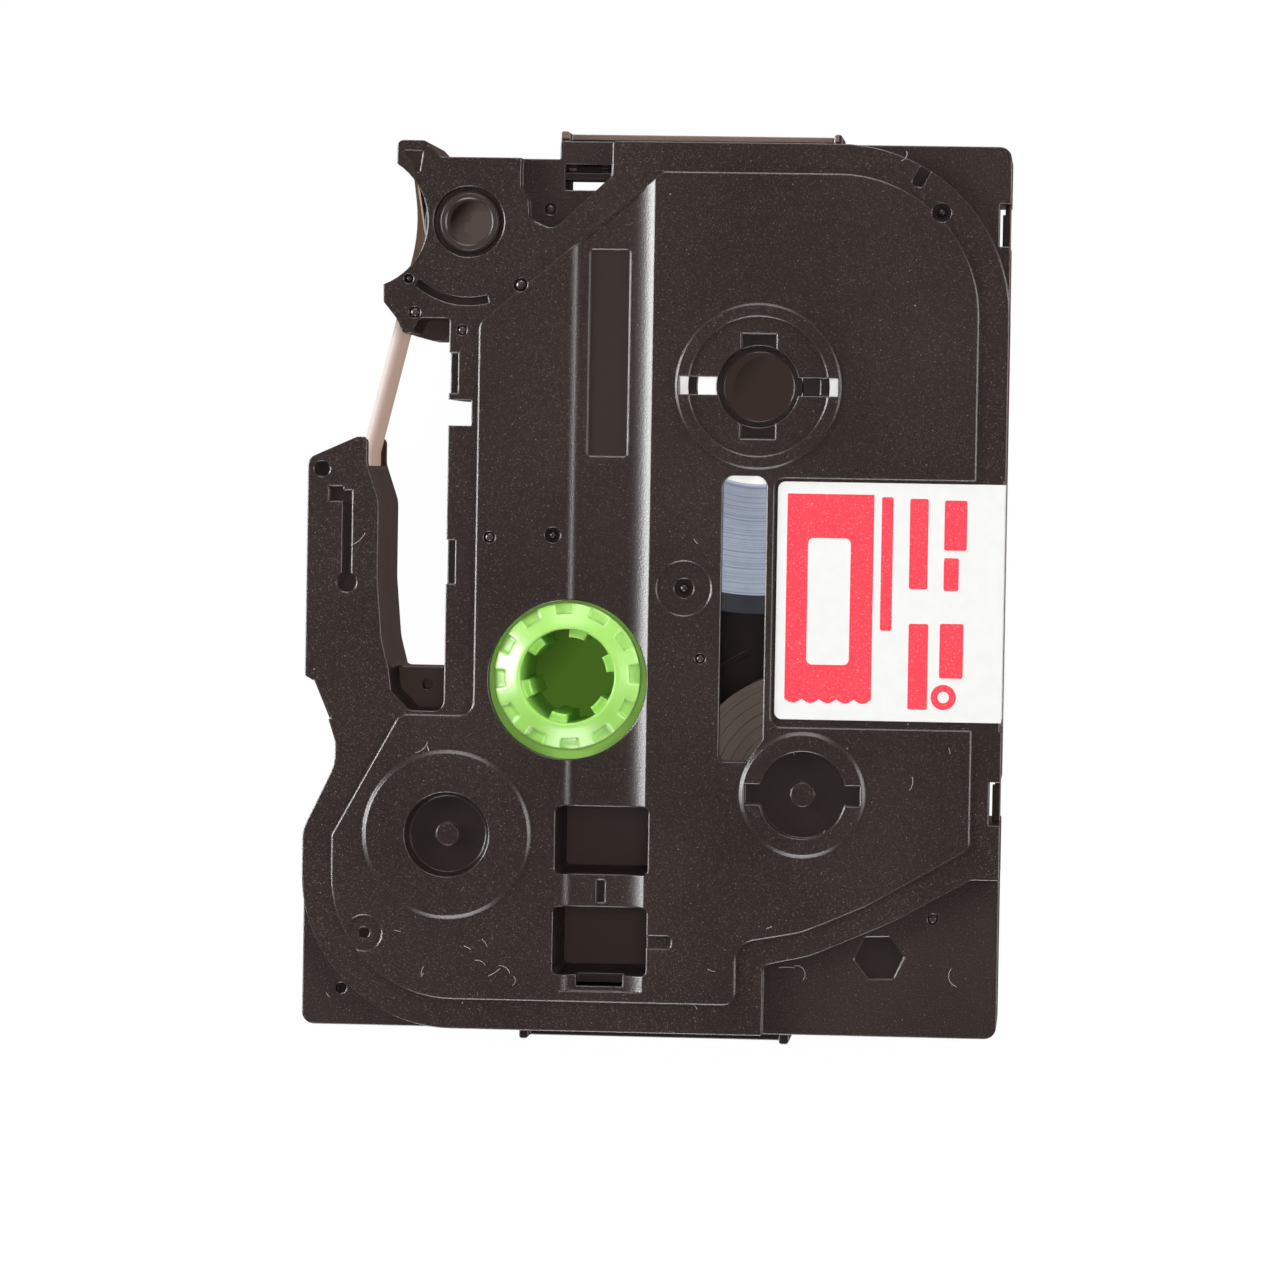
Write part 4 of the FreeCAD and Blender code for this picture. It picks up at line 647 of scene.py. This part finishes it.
@dataclass(frozen=True)
class ClearFilm(Finish):
    """Clear slippery film: what lies under it shows through, with a thin shine on top.

    Attributes:
        see_through: Share of the light that passes.
    """

    see_through: float = 0.8

    def build(self) -> bpy.types.Material:
        """Make the film."""
        material, tree, shader, place = self.start()
        cloud = noise(tree, place, 3.0, 2.0)
        alpha = add_node(tree, "ShaderNodeMapRange", {"To Min": 1.0 - self.see_through, "To Max": 1.1 - self.see_through},
                         {"Value": cloud})
        tree.links.new(alpha.outputs["Result"], shader.inputs["Alpha"])
        return material


@dataclass(frozen=True)
class DrawnSteel(Finish):
    """Bright drawn spring wire: roughness that varies in fine patches and a narrow highlight."""

    name: str = "drawn_spring_steel"
    colour: str = "#B8B6B2"
    roughness: float = 0.28

    def build(self) -> bpy.types.Material:
        """Make the metal."""
        material, tree, shader, place = self.start()
        shader.inputs["Metallic"].default_value = 1.0
        cloud = noise(tree, place, 0.4, 2.0)
        rough = add_node(tree, "ShaderNodeMapRange", {"To Min": self.roughness - 0.06, "To Max": self.roughness + 0.1},
                         {"Value": cloud})
        tree.links.new(rough.outputs["Result"], shader.inputs["Roughness"])
        return material


@dataclass(frozen=True)
class LitBackdrop(Finish):
    """Matt studio paper that the camera sees as white and that still takes the soft shadow of the case.

    Attributes:
        shadow_share: Share of the shadow that shows.
        shine_share: Brightness of the paper in glossy faces.
        shine_colour: Its colour there.
    """

    name: str = "studio_paper"
    colour: str = "#FFFFFF"
    roughness: float = 0.9
    shadow_share: float = 0.015
    shine_share: float = 0.22
    shine_colour: str = "#FFDBD1"

    def build(self) -> bpy.types.Material:
        """Make the floor material.

        Returns:
            The material.
        """
        material, tree, shader, _ = self.start()
        seen = add_node(tree, "ShaderNodeLightPath")
        glossy = seen.outputs["Is Glossy Ray"]
        direct = add_node(tree, "ShaderNodeMath", {"operation": "MAXIMUM"},
                          {0: seen.outputs["Is Camera Ray"], 1: seen.outputs["Is Transmission Ray"]})
        shown = times(tree, direct.outputs["Value"], 1.0 - self.shadow_share)
        share = add_node(tree, "ShaderNodeMath", {"operation": "MAXIMUM"}, {0: shown, 1: glossy})
        glow = mixed(tree, glossy, linear(self.colour), linear(self.shine_colour))
        power = add_node(tree, "ShaderNodeMapRange", {"To Min": 1.0, "To Max": self.shine_share}, {"Value": glossy})
        white = add_node(tree, "ShaderNodeEmission", links={"Color": glow, "Strength": power.outputs["Result"]})
        paper = add_node(tree, "ShaderNodeMixShader", links={
            0: share.outputs["Value"], 1: shader.outputs["BSDF"], 2: white.outputs["Emission"]})
        output = next(node for node in tree.nodes if node.type == "OUTPUT_MATERIAL")
        tree.links.new(paper.outputs["Shader"], output.inputs["Surface"])
        return material


@dataclass(frozen=True)
class TableInShade(Finish):
    """Painted shade for the table seen down a bore: a dim glowing round in place of the light that the bore's wall
    sends on.

    Attributes:
        axis_mm: Axis of the bore.
        radius_mm: Its radius.
    """

    axis_mm: Place = (0.0, 0.0)
    radius_mm: float = 3.0

    def build(self) -> bpy.types.Material:
        """Make the shaded table."""
        material, tree, shader, place = self.start()
        shader.inputs["Base Color"].default_value = (0.0, 0.0, 0.0, 1.0)
        shader.inputs["Specular IOR Level"].default_value = 0.0
        shade = down_bore(tree, place, self.axis_mm, self.radius_mm)
        # Painted shade, darker on the bore's dark side.
        dim = ramp(tree, shade, [(0.1, "#9C9896"), (0.55, "#FFFFFF"), (1.0, "#FFFFFF")])
        tree.links.new(mixed(tree, 1.0, linear(self.colour), dim, "MULTIPLY"), shader.inputs["Emission Color"])
        shader.inputs["Emission Strength"].default_value = 1.0
        return material


def mesh_piece(name: str, outlines: list[list[Place]], level_mm: float, material: bpy.types.Material) -> bpy.types.Object:
    """Make one flat piece from closed outlines.

    Args:
        name: Name of the piece.
        outlines: Corners of each field in millimetres.
        level_mm: Height of the piece.
        material: Its material.

    Returns:
        The object.
    """
    mesh = bpy.data.meshes.new(name)
    shape = bmesh.new()
    for outline in outlines:
        shape.faces.new([shape.verts.new((x * MM, y * MM, level_mm * MM)) for x, y in outline])
    bmesh.ops.recalc_face_normals(shape, faces=shape.faces)
    for face in shape.faces:
        if face.normal.z < 0:
            face.normal_flip()
    shape.to_mesh(mesh)
    shape.free()
    mesh.materials.append(material)
    piece = bpy.data.objects.new(name, mesh)
    bpy.context.scene.collection.objects.link(piece)
    return piece


def rounded_box(x0: float, y0: float, x1: float, y1: float, r: float, steps: int = 6) -> list[Place]:
    """Corners of a box with rounded corners, counter-clockwise.

    Args:
        x0: Left side.
        y0: Near side.
        x1: Right side.
        y1: Far side.
        r: Corner radius.
        steps: Points on each corner.

    Returns:
        Outline points.
    """
    points = []
    for cx, cy, first in ((x1 - r, y1 - r, 0), (x0 + r, y1 - r, 90), (x0 + r, y0 + r, 180), (x1 - r, y0 + r, 270)):
        for i in range(steps + 1):
            angle = math.radians(first + 90.0 * i / steps)
            points.append((cx + r * math.cos(angle), cy + r * math.sin(angle)))
    return points


@dataclass
class LabelPrint:
    """Print on the label: a red field, plain bars and an open ring, with no wording.

    Attributes:
        field_box: Red field, left, near, right, far.
        scallops: Number of scallops on its near end.
        scallop_depth: How far they cut in.
    """

    field_box: tuple[float, float, float, float] = (11.55, -9.55, 19.08, 8.63)
    scallops: int = 5
    scallop_depth: float = 0.36
    sheet_gap: float = 0.012
    bars: list[tuple[float, float, float, float]] = field(default_factory=lambda: [
        (19.75, -3.15, 20.75, 8.45),
        (22.2, 0.5, 23.8, 8.35),
        (25.2, 3.9, 27.15, 8.25),
        (25.2, 0.4, 26.5, 3.25),
        (22.25, -9.95, 23.95, -2.5),
        (24.95, -7.2, 27.0, -2.45),
    ])
    inner_bar: tuple[float, float, float, float] = (13.4, -6.2, 17.1, 4.8)
    badge_centre: Place = (25.35, -8.85)
    badge_radii: Place = (1.1, 0.5)

    def field_outline(self) -> list[Place]:
        """Outline of the red field with its scalloped near end.

        Returns:
            Outline points.
        """
        x0, y0, x1, y1 = self.field_box
        points = [(x1, y1), (x0, y1), (x0, y0 + self.scallop_depth)]
        width = (x1 - x0) / self.scallops
        arc_steps = 10
        for i in range(self.scallops):
            for step in range(1, arc_steps + 1):
                along = step / arc_steps
                dip = self.scallop_depth * math.sin(math.pi * along)
                points.append((x0 + (i + along) * width, y0 + self.scallop_depth - dip))
        return points

    def ring_outlines(self) -> list[list[Place]]:
        """Quads of an open ring, a plain picture of a reel.

        Returns:
            One outline for each quad.
        """
        outer, inner = self.badge_radii
        cx, cy = self.badge_centre
        parts = 36
        quads = []
        for i in range(parts):
            a, b = (2 * math.pi * k / parts for k in (i, i + 1))
            quads.append([
                (cx + outer * math.cos(a), cy + outer * math.sin(a)),
                (cx + outer * math.cos(b), cy + outer * math.sin(b)),
                (cx + inner * math.cos(b), cy + inner * math.sin(b)),
                (cx + inner * math.cos(a), cy + inner * math.sin(a)),
            ])
        return quads

    def build(self, ink: bpy.types.Material, stock: bpy.types.Material) -> None:
        """Lay the printed fields on the label.

        Args:
            ink: Red ink.
            stock: White label stock.
        """
        low = Level.LABEL.value + self.sheet_gap
        red = mesh_piece("label_red_field", [self.field_outline()], low, ink)
        bars = mesh_piece("label_bars", [rounded_box(*bar, 0.18) for bar in self.bars] + self.ring_outlines(), low, ink)
        inner = mesh_piece("label_white_bar", [rounded_box(*self.inner_bar, 0.5)], low + self.sheet_gap, stock)
        for piece in (red, bars, inner):
            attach(piece, Body.CASE.value)
            log.info("%s rides on %s", piece.name, Body.CASE.value)


@dataclass
class PinHeads:
    """Round heads of the pins that join the two shells, seen in the face's small holes.

    Attributes:
        heads: Middle, radius and height of the face of each, in millimetres.
        rise: Height of a head.
    """

    rise: float = 0.34
    heads: list[tuple[float, float, float, float]] = field(default_factory=lambda: [
        (-21.87, 26.79, 0.30, 15.45),
        (-21.29, 23.87, 0.47, 15.60),
        (-17.13, 22.37, 0.42, 15.60),
        (-12.05, 26.38, 0.50, 15.62),
        (-9.69, 33.08, 0.44, 14.00),
        (-14.40, 4.37, 0.46, 16.00),
        (4.17, -5.88, 0.41, 16.00),
        (24.76, -28.29, 0.44, 14.00),
    ])

    def build(self, material: bpy.types.Material) -> None:
        """Set the heads in their holes.

        Args:
            material: Finish of the heads.
        """
        shape = bmesh.new()
        for x, y, r, top in self.heads:
            made = bmesh.ops.create_uvsphere(shape, u_segments=24, v_segments=12, radius=1.0)
            bmesh.ops.scale(shape, vec=(r * MM, r * MM, self.rise * MM), verts=made["verts"])
            bmesh.ops.translate(shape, vec=(x * MM, y * MM, (top - self.rise) * MM), verts=made["verts"])
        for face in shape.faces:
            face.smooth = True
        mesh = bpy.data.meshes.new("joint_pin_heads")
        shape.to_mesh(mesh)
        shape.free()
        mesh.materials.append(material)
        piece = bpy.data.objects.new(mesh.name, mesh)
        bpy.context.scene.collection.objects.link(piece)
        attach(piece, Body.CASE.value)
        log.info("%d pin heads ride on %s", len(self.heads), Body.CASE.value)


@dataclass(frozen=True)
class Fibre:
    """One short fibre that lies flat and curls.

    Attributes:
        level: Face that it lies on.
        start: Its first end in millimetres.
        heading: Direction at that end, in degrees from +X.
        length: Its length in millimetres.
        curl: How fast it turns, in degrees a millimetre.
    """

    level: Level
    start: Place
    heading: float
    length: float
    curl: float

    def points(self, step: float = 0.14) -> list[Place]:
        """Walk along the fibre, which kinks a little as it curls.

        Args:
            step: Distance between points in millimetres.

        Returns:
            Points in millimetres.
        """
        x, y = self.start
        walked = [self.start]
        for i in range(max(3, round(self.length / step))):
            kink = 14.0 * math.sin(2.3 * i + self.heading)
            turn = math.radians(self.heading + self.curl * i * step + kink)
            x += step * math.cos(turn)
            y += step * math.sin(turn)
            walked.append((x, y))
        return walked


@dataclass
class Lint:
    """Short fibres that lie on the labelled face.

    Attributes:
        thickness: Radius of a fibre.
        fibres: The fibres.
    """

    thickness: float = 0.02
    fibres: list[Fibre] = field(default_factory=lambda: [
        Fibre(Level.PLATEAU, (-20.58, -14.57), 15.0, 1.5, 40.0),
        Fibre(Level.PLATEAU, (-19.59, -13.86), -60.0, 0.5, -60.0),
        Fibre(Level.PLATEAU, (-24.31, -22.75), -95.0, 1.7, 55.0),
        Fibre(Level.PLATEAU, (-11.43, -21.83), -112.0, 0.7, 20.0),
        Fibre(Level.RIM, (-27.23, -22.86), 50.0, 0.6, -50.0),
        Fibre(Level.PLATEAU, (-19.54, -33.20), -115.0, 0.9, 25.0),
        Fibre(Level.PLATEAU, (-19.77, -34.14), 60.0, 0.4, 0.0),
        Fibre(Level.PLATEAU, (-14.49, -30.69), -40.0, 0.8, -40.0),
        Fibre(Level.PLATEAU, (-15.08, -32.58), 10.0, 1.1, -70.0),
        Fibre(Level.PLATEAU, (-12.94, -33.02), 0.0, 1.2, -60.0),
        Fibre(Level.PLATEAU, (-13.89, -33.95), 25.0, 1.3, 15.0),
        Fibre(Level.PLATEAU, (-11.66, -33.91), -50.0, 1.0, -110.0),
        Fibre(Level.CORNER, (-28.33, -35.87), -60.0, 0.6, 40.0),
        Fibre(Level.PLATEAU, (-16.05, -31.34), -15.0, 0.7, -40.0),
        Fibre(Level.PLATEAU, (-22.14, -30.10), -20.0, 0.5, 40.0),
        Fibre(Level.CORNER, (-27.03, -36.00), 20.0, 0.4, 0.0),
        Fibre(Level.PLATEAU, (12.16, -12.90), -85.0, 1.2, 25.0),
        Fibre(Level.PLATEAU, (22.78, -15.79), -75.0, 1.2, -45.0),
        Fibre(Level.PLATEAU, (25.91, -13.19), -70.0, 0.6, -20.0),
        Fibre(Level.PLATEAU, (15.29, -20.58), -108.0, 1.2, -20.0),
        Fibre(Level.PLATEAU, (15.23, -20.74), -20.0, 0.6, -80.0),
        Fibre(Level.CORNER, (11.41, -32.81), 8.0, 1.4, -12.0),
        Fibre(Level.CORNER, (12.76, -32.60), 10.0, 1.9, -75.0),
        Fibre(Level.CORNER, (26.44, -32.55), -125.0, 1.9, 58.0),
        Fibre(Level.RIM, (4.11, -36.02), -45.0, 0.5, -30.0),
        Fibre(Level.PLATEAU, (5.31, -32.92), -30.0, 0.7, 50.0),
        Fibre(Level.PLATEAU, (10.34, -29.28), 20.0, 0.6, 0.0),
        Fibre(Level.RIM, (-25.35, 4.56), -118.0, 1.7, -25.0),
        Fibre(Level.RIM, (21.31, 38.46), -70.0, 1.1, -95.0),
        Fibre(Level.PLATEAU, (3.46, 4.55), -60.0, 0.5, 40.0),
    ])

    def build(self, material: bpy.types.Material) -> None:
        """Lay the fibres.

        Args:
            material: Finish of the fibres.
        """
        for number, fibre in enumerate(self.fibres, 1):
            curve = bpy.data.curves.new(f"lint_{number:02d}", "CURVE")
            curve.dimensions = "3D"
            curve.bevel_depth = self.thickness * MM
            curve.bevel_resolution = 1
            spline = curve.splines.new("NURBS")
            points = fibre.points()
            spline.points.add(len(points) - 1)
            for i, (x, y) in enumerate(points):
                lift = self.thickness * (1.0 + 1.2 * (i % 2))
                spline.points[i].co = (x * MM, y * MM, (fibre.level.value + lift) * MM, 1.0)
            spline.order_u = 3
            spline.resolution_u = 3
            spline.use_endpoint_u = True
            curve.materials.append(material)
            piece = bpy.data.objects.new(curve.name, curve)
            bpy.context.scene.collection.objects.link(piece)
            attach(piece, Body.CASE.value)
        log.info("%d fibres of lint ride on %s", len(self.fibres), Body.CASE.value)


@dataclass
class Cassette:
    """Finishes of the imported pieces."""

    roller_axis: Place = (-16.67, 31.82)
    base_axis: Place = (8.83, 17.87)
    film_axis: Place = (13.27, -17.57)
    ribbon_axis: Place = (-17.74, -21.64)
    take_up_axis: Place = (-7.40, -7.62)

    def finishes(self) -> dict[str, bpy.types.Material]:
        """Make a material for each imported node.

        Returns:
            Node names and their materials.
        """
        case = MouldedPolystyrene().build()
        # Painted glow: the white spools, the roller and the rolls glow a little in their own tone; painted shade fills
        # the base spool's notch.
        white = RoundedPlastic("white_acetal", "#F2F1EE", 0.35, 1.48, painted_glow=0.5).build()
        white_with_painted_notch_shade = RoundedPlastic("white_acetal_painted_notch_shade", "#F2F1EE", 0.35, 1.48, painted_glow=0.62,
                                 painted_notch_shade=Box((13.55, 17.87, 10.0), (0.95, 3.0, 8.0))).build()
        ribbon = WoundTurns("carbon_ribbon", "#1B1A1C", 0.3, 1.5, "#0E0D0F", self.ribbon_axis, 0.15).build()
        washer = ClearFilm("slip_washer_film", "#6C7076", 0.2, 1.5, 0.88).build()
        lower_washer = Finish("dark_slip_washer_film", "#1E1A1A", 0.3, 1.5).build()
        return {
            "lower_case": case,
            "upper_case": case,
            "label": CoatedLabelStock().build(),
            # The roller has painted shade and light down its bore.
            "drive_roller": RoundedPlastic("dark_roller_plastic", "#352B28", 0.3, 1.45, 0.12, "#2E2522", 0.12,
                                            self.roller_axis, bore_mm=12.5).build(),
            "take_up_spool": GreenAcetal().build(),
            "take_up_clutch_spring": DrawnSteel().build(),
            "taken_up_ribbon": ribbon,
            "ribbon_supply_spool": white,
            "ink_ribbon_roll": ribbon,
            "base_tape_spool": white_with_painted_notch_shade,
            "base_tape_roll": WoundTurns("backed_tape_edge", "#9AA3B2", 0.5, 1.45, "#7B8494", self.base_axis, 0.16,
                                         0.75).build(),
            "base_tape_lower_spacer": lower_washer,
            "base_tape_upper_spacer": washer,
            "film_tape_spool": white,
            "film_tape_roll": WoundTurns("film_roll_edge", "#564A44", 0.4, 1.5, "#50443E", self.film_axis, 0.3,
                                         0.12).build(),
            "film_guide_roller": DrawnSteel("ground_steel_sleeve", "#C4C2BE", 0.2).build(),
            "film_tape_run": LeaningTape().build(),
            "base_tape_run": RoundedPlastic("backed_tape", "#B9A79B", 0.4, 1.5, 0.02, "#A8968A").build(),
            "ink_ribbon_run": LeaningTape("ribbon_carrier_film").build(),
        }

    def build(self) -> None:
        """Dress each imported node."""
        for name, material in self.finishes().items():
            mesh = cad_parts[name].data
            mesh.materials.clear()
            mesh.materials.append(material)
            log.info("%s is finished in %s", name, material.name)


@dataclass(frozen=True)
class Lamp:
    """A round soft lamp turned to the cassette.

    Attributes:
        name: Its name.
        place: Where it hangs, in millimetres.
        size: Diameter in millimetres.
        power: Power in watts.
        shines: Whether it shows as a highlight on glossy faces.
        lights: Whether it lights matt faces.
    """

    name: str
    place: tuple[float, float, float]
    size: float
    power: float
    shines: bool = True
    lights: bool = True


@dataclass
class Studio:
    """Camera at the photograph's view, white floor and soft lamps."""

    camera_place: tuple[float, float, float] = (35.245, 10.302, 530.39)
    camera_turn: tuple[float, float, float] = (-0.0272, 0.07098, 0.0169)
    lens_mm: float = 166.72
    floor_half: float = 3000.0
    world_strength: float = 0.14
    lamps: list[Lamp] = field(default_factory=lambda: [
        Lamp("key_lamp", (-520.0, 120.0, 330.0), 260.0, 2.6),
        Lamp("fill_lamp", (480.0, 160.0, 300.0), 420.0, 2.3, False),
        Lamp("left_card", (-560.0, 60.0, 190.0), 420.0, 9.5, True, False),
        Lamp("right_card", (570.0, 40.0, 120.0), 420.0, 4.2, True, False),
        Lamp("near_card", (0.0, -570.0, 150.0), 460.0, 6.0, True, False),
        Lamp("far_card", (0.0, 570.0, 150.0), 460.0, 3.6, True, False),
        Lamp("far_lamp", (0.0, 520.0, 330.0), 380.0, 0.6),
        Lamp("near_lamp", (-60.0, -560.0, 330.0), 380.0, 0.5),
        Lamp("lens_ring_lamp", (35.0, 10.0, 560.0), 120.0, 1.3, False),
    ])
    shaded_holes: list[tuple[str, Place, float, str]] = field(default_factory=lambda: [
        ("shade_under_roller", (-16.67, 31.82), 2.4, "#544845"),
        ("shade_under_take_up", (-7.40, -7.62), 4.8, "#42621F"),
        ("shade_under_base_hub", (8.83, 17.87), 3.6, "#3A2F2B"),
    ])

    def place_camera(self) -> None:
        """Set the camera at the photograph's viewing angle."""
        data = bpy.data.cameras.new("camera")
        data.lens = self.lens_mm
        data.sensor_width = 36.0
        data.clip_start = 0.01
        data.clip_end = 20.0
        camera = bpy.data.objects.new("camera", data)
        camera.location = Vector(self.camera_place) * MM
        camera.rotation_euler = self.camera_turn
        bpy.context.scene.collection.objects.link(camera)
        bpy.context.scene.camera = camera

    def place_floor(self) -> None:
        """Lay the floor and the rounds of painted shade where the table is seen through the bores."""
        half = self.floor_half
        floor = mesh_piece("floor", [[(half, half), (-half, half), (-half, -half), (half, -half)]], -0.02,
                           LitBackdrop().build())
        # Rounds of painted shade on the floor under the bores.
        for name, (x, y), r, colour in self.shaded_holes:
            turns = [2 * math.pi * i / 32 for i in range(32)]
            outline = [(x + r * math.cos(turn), y + r * math.sin(turn)) for turn in turns]
            mesh_piece(name, [outline], -0.01, TableInShade(name, colour, 0.9, 1.5, (x, y), r).build())

    def place_lamps(self) -> None:
        """Hang the soft lamps, each turned to the cassette."""
        for lamp in self.lamps:
            data = bpy.data.lights.new(lamp.name, "AREA")
            data.shape = "DISK"
            data.size = lamp.size * MM
            data.energy = lamp.power
            piece = bpy.data.objects.new(lamp.name, data)
            piece.location = Vector(lamp.place) * MM
            piece.rotation_euler = (-piece.location).to_track_quat("-Z", "Y").to_euler()
            piece.visible_glossy = lamp.shines
            piece.visible_diffuse = lamp.lights
            bpy.context.scene.collection.objects.link(piece)

    def light_world(self) -> None:
        """Give an even grey sky that the camera and clear pieces see as white."""
        world = bpy.data.worlds.new("studio_sky")
        world.use_nodes = True
        tree = world.node_tree
        tree.nodes.clear()
        seen = add_node(tree, "ShaderNodeLightPath")
        level = add_node(tree, "ShaderNodeMapRange", {"To Min": self.world_strength, "To Max": 1.0},
                         {"Value": seen.outputs["Is Camera Ray"]})
        sky = add_node(tree, "ShaderNodeBackground", {"Color": linear("#FFFFFF")}, {"Strength": level.outputs["Result"]})
        add_node(tree, "ShaderNodeOutputWorld", links={"Surface": sky.outputs["Background"]})
        bpy.context.scene.world = world

    def build(self) -> None:
        """Set up camera, floor and light."""
        bpy.context.scene.view_settings.view_transform = "Standard"
        self.place_camera()
        self.place_floor()
        self.place_lamps()
        self.light_world()
        log.info("studio is set")


def main() -> None:
    """Dress the cassette, print its label, lay the lint and set the studio."""
    logging.basicConfig(level=logging.INFO, format="%(name)s: %(message)s")
    Studio().build()
    Cassette().build()
    LabelPrint().build(PrintedInk().build(), CoatedLabelStock("label_stock_over_ink").build())
    PinHeads().build(Finish("polished_pin_plastic", "#3A302D", 0.24).build())
    Lint().build(Finish("cotton_lint", "#B9B4B0", 0.8).build())


if __name__ == "__main__":
    main()
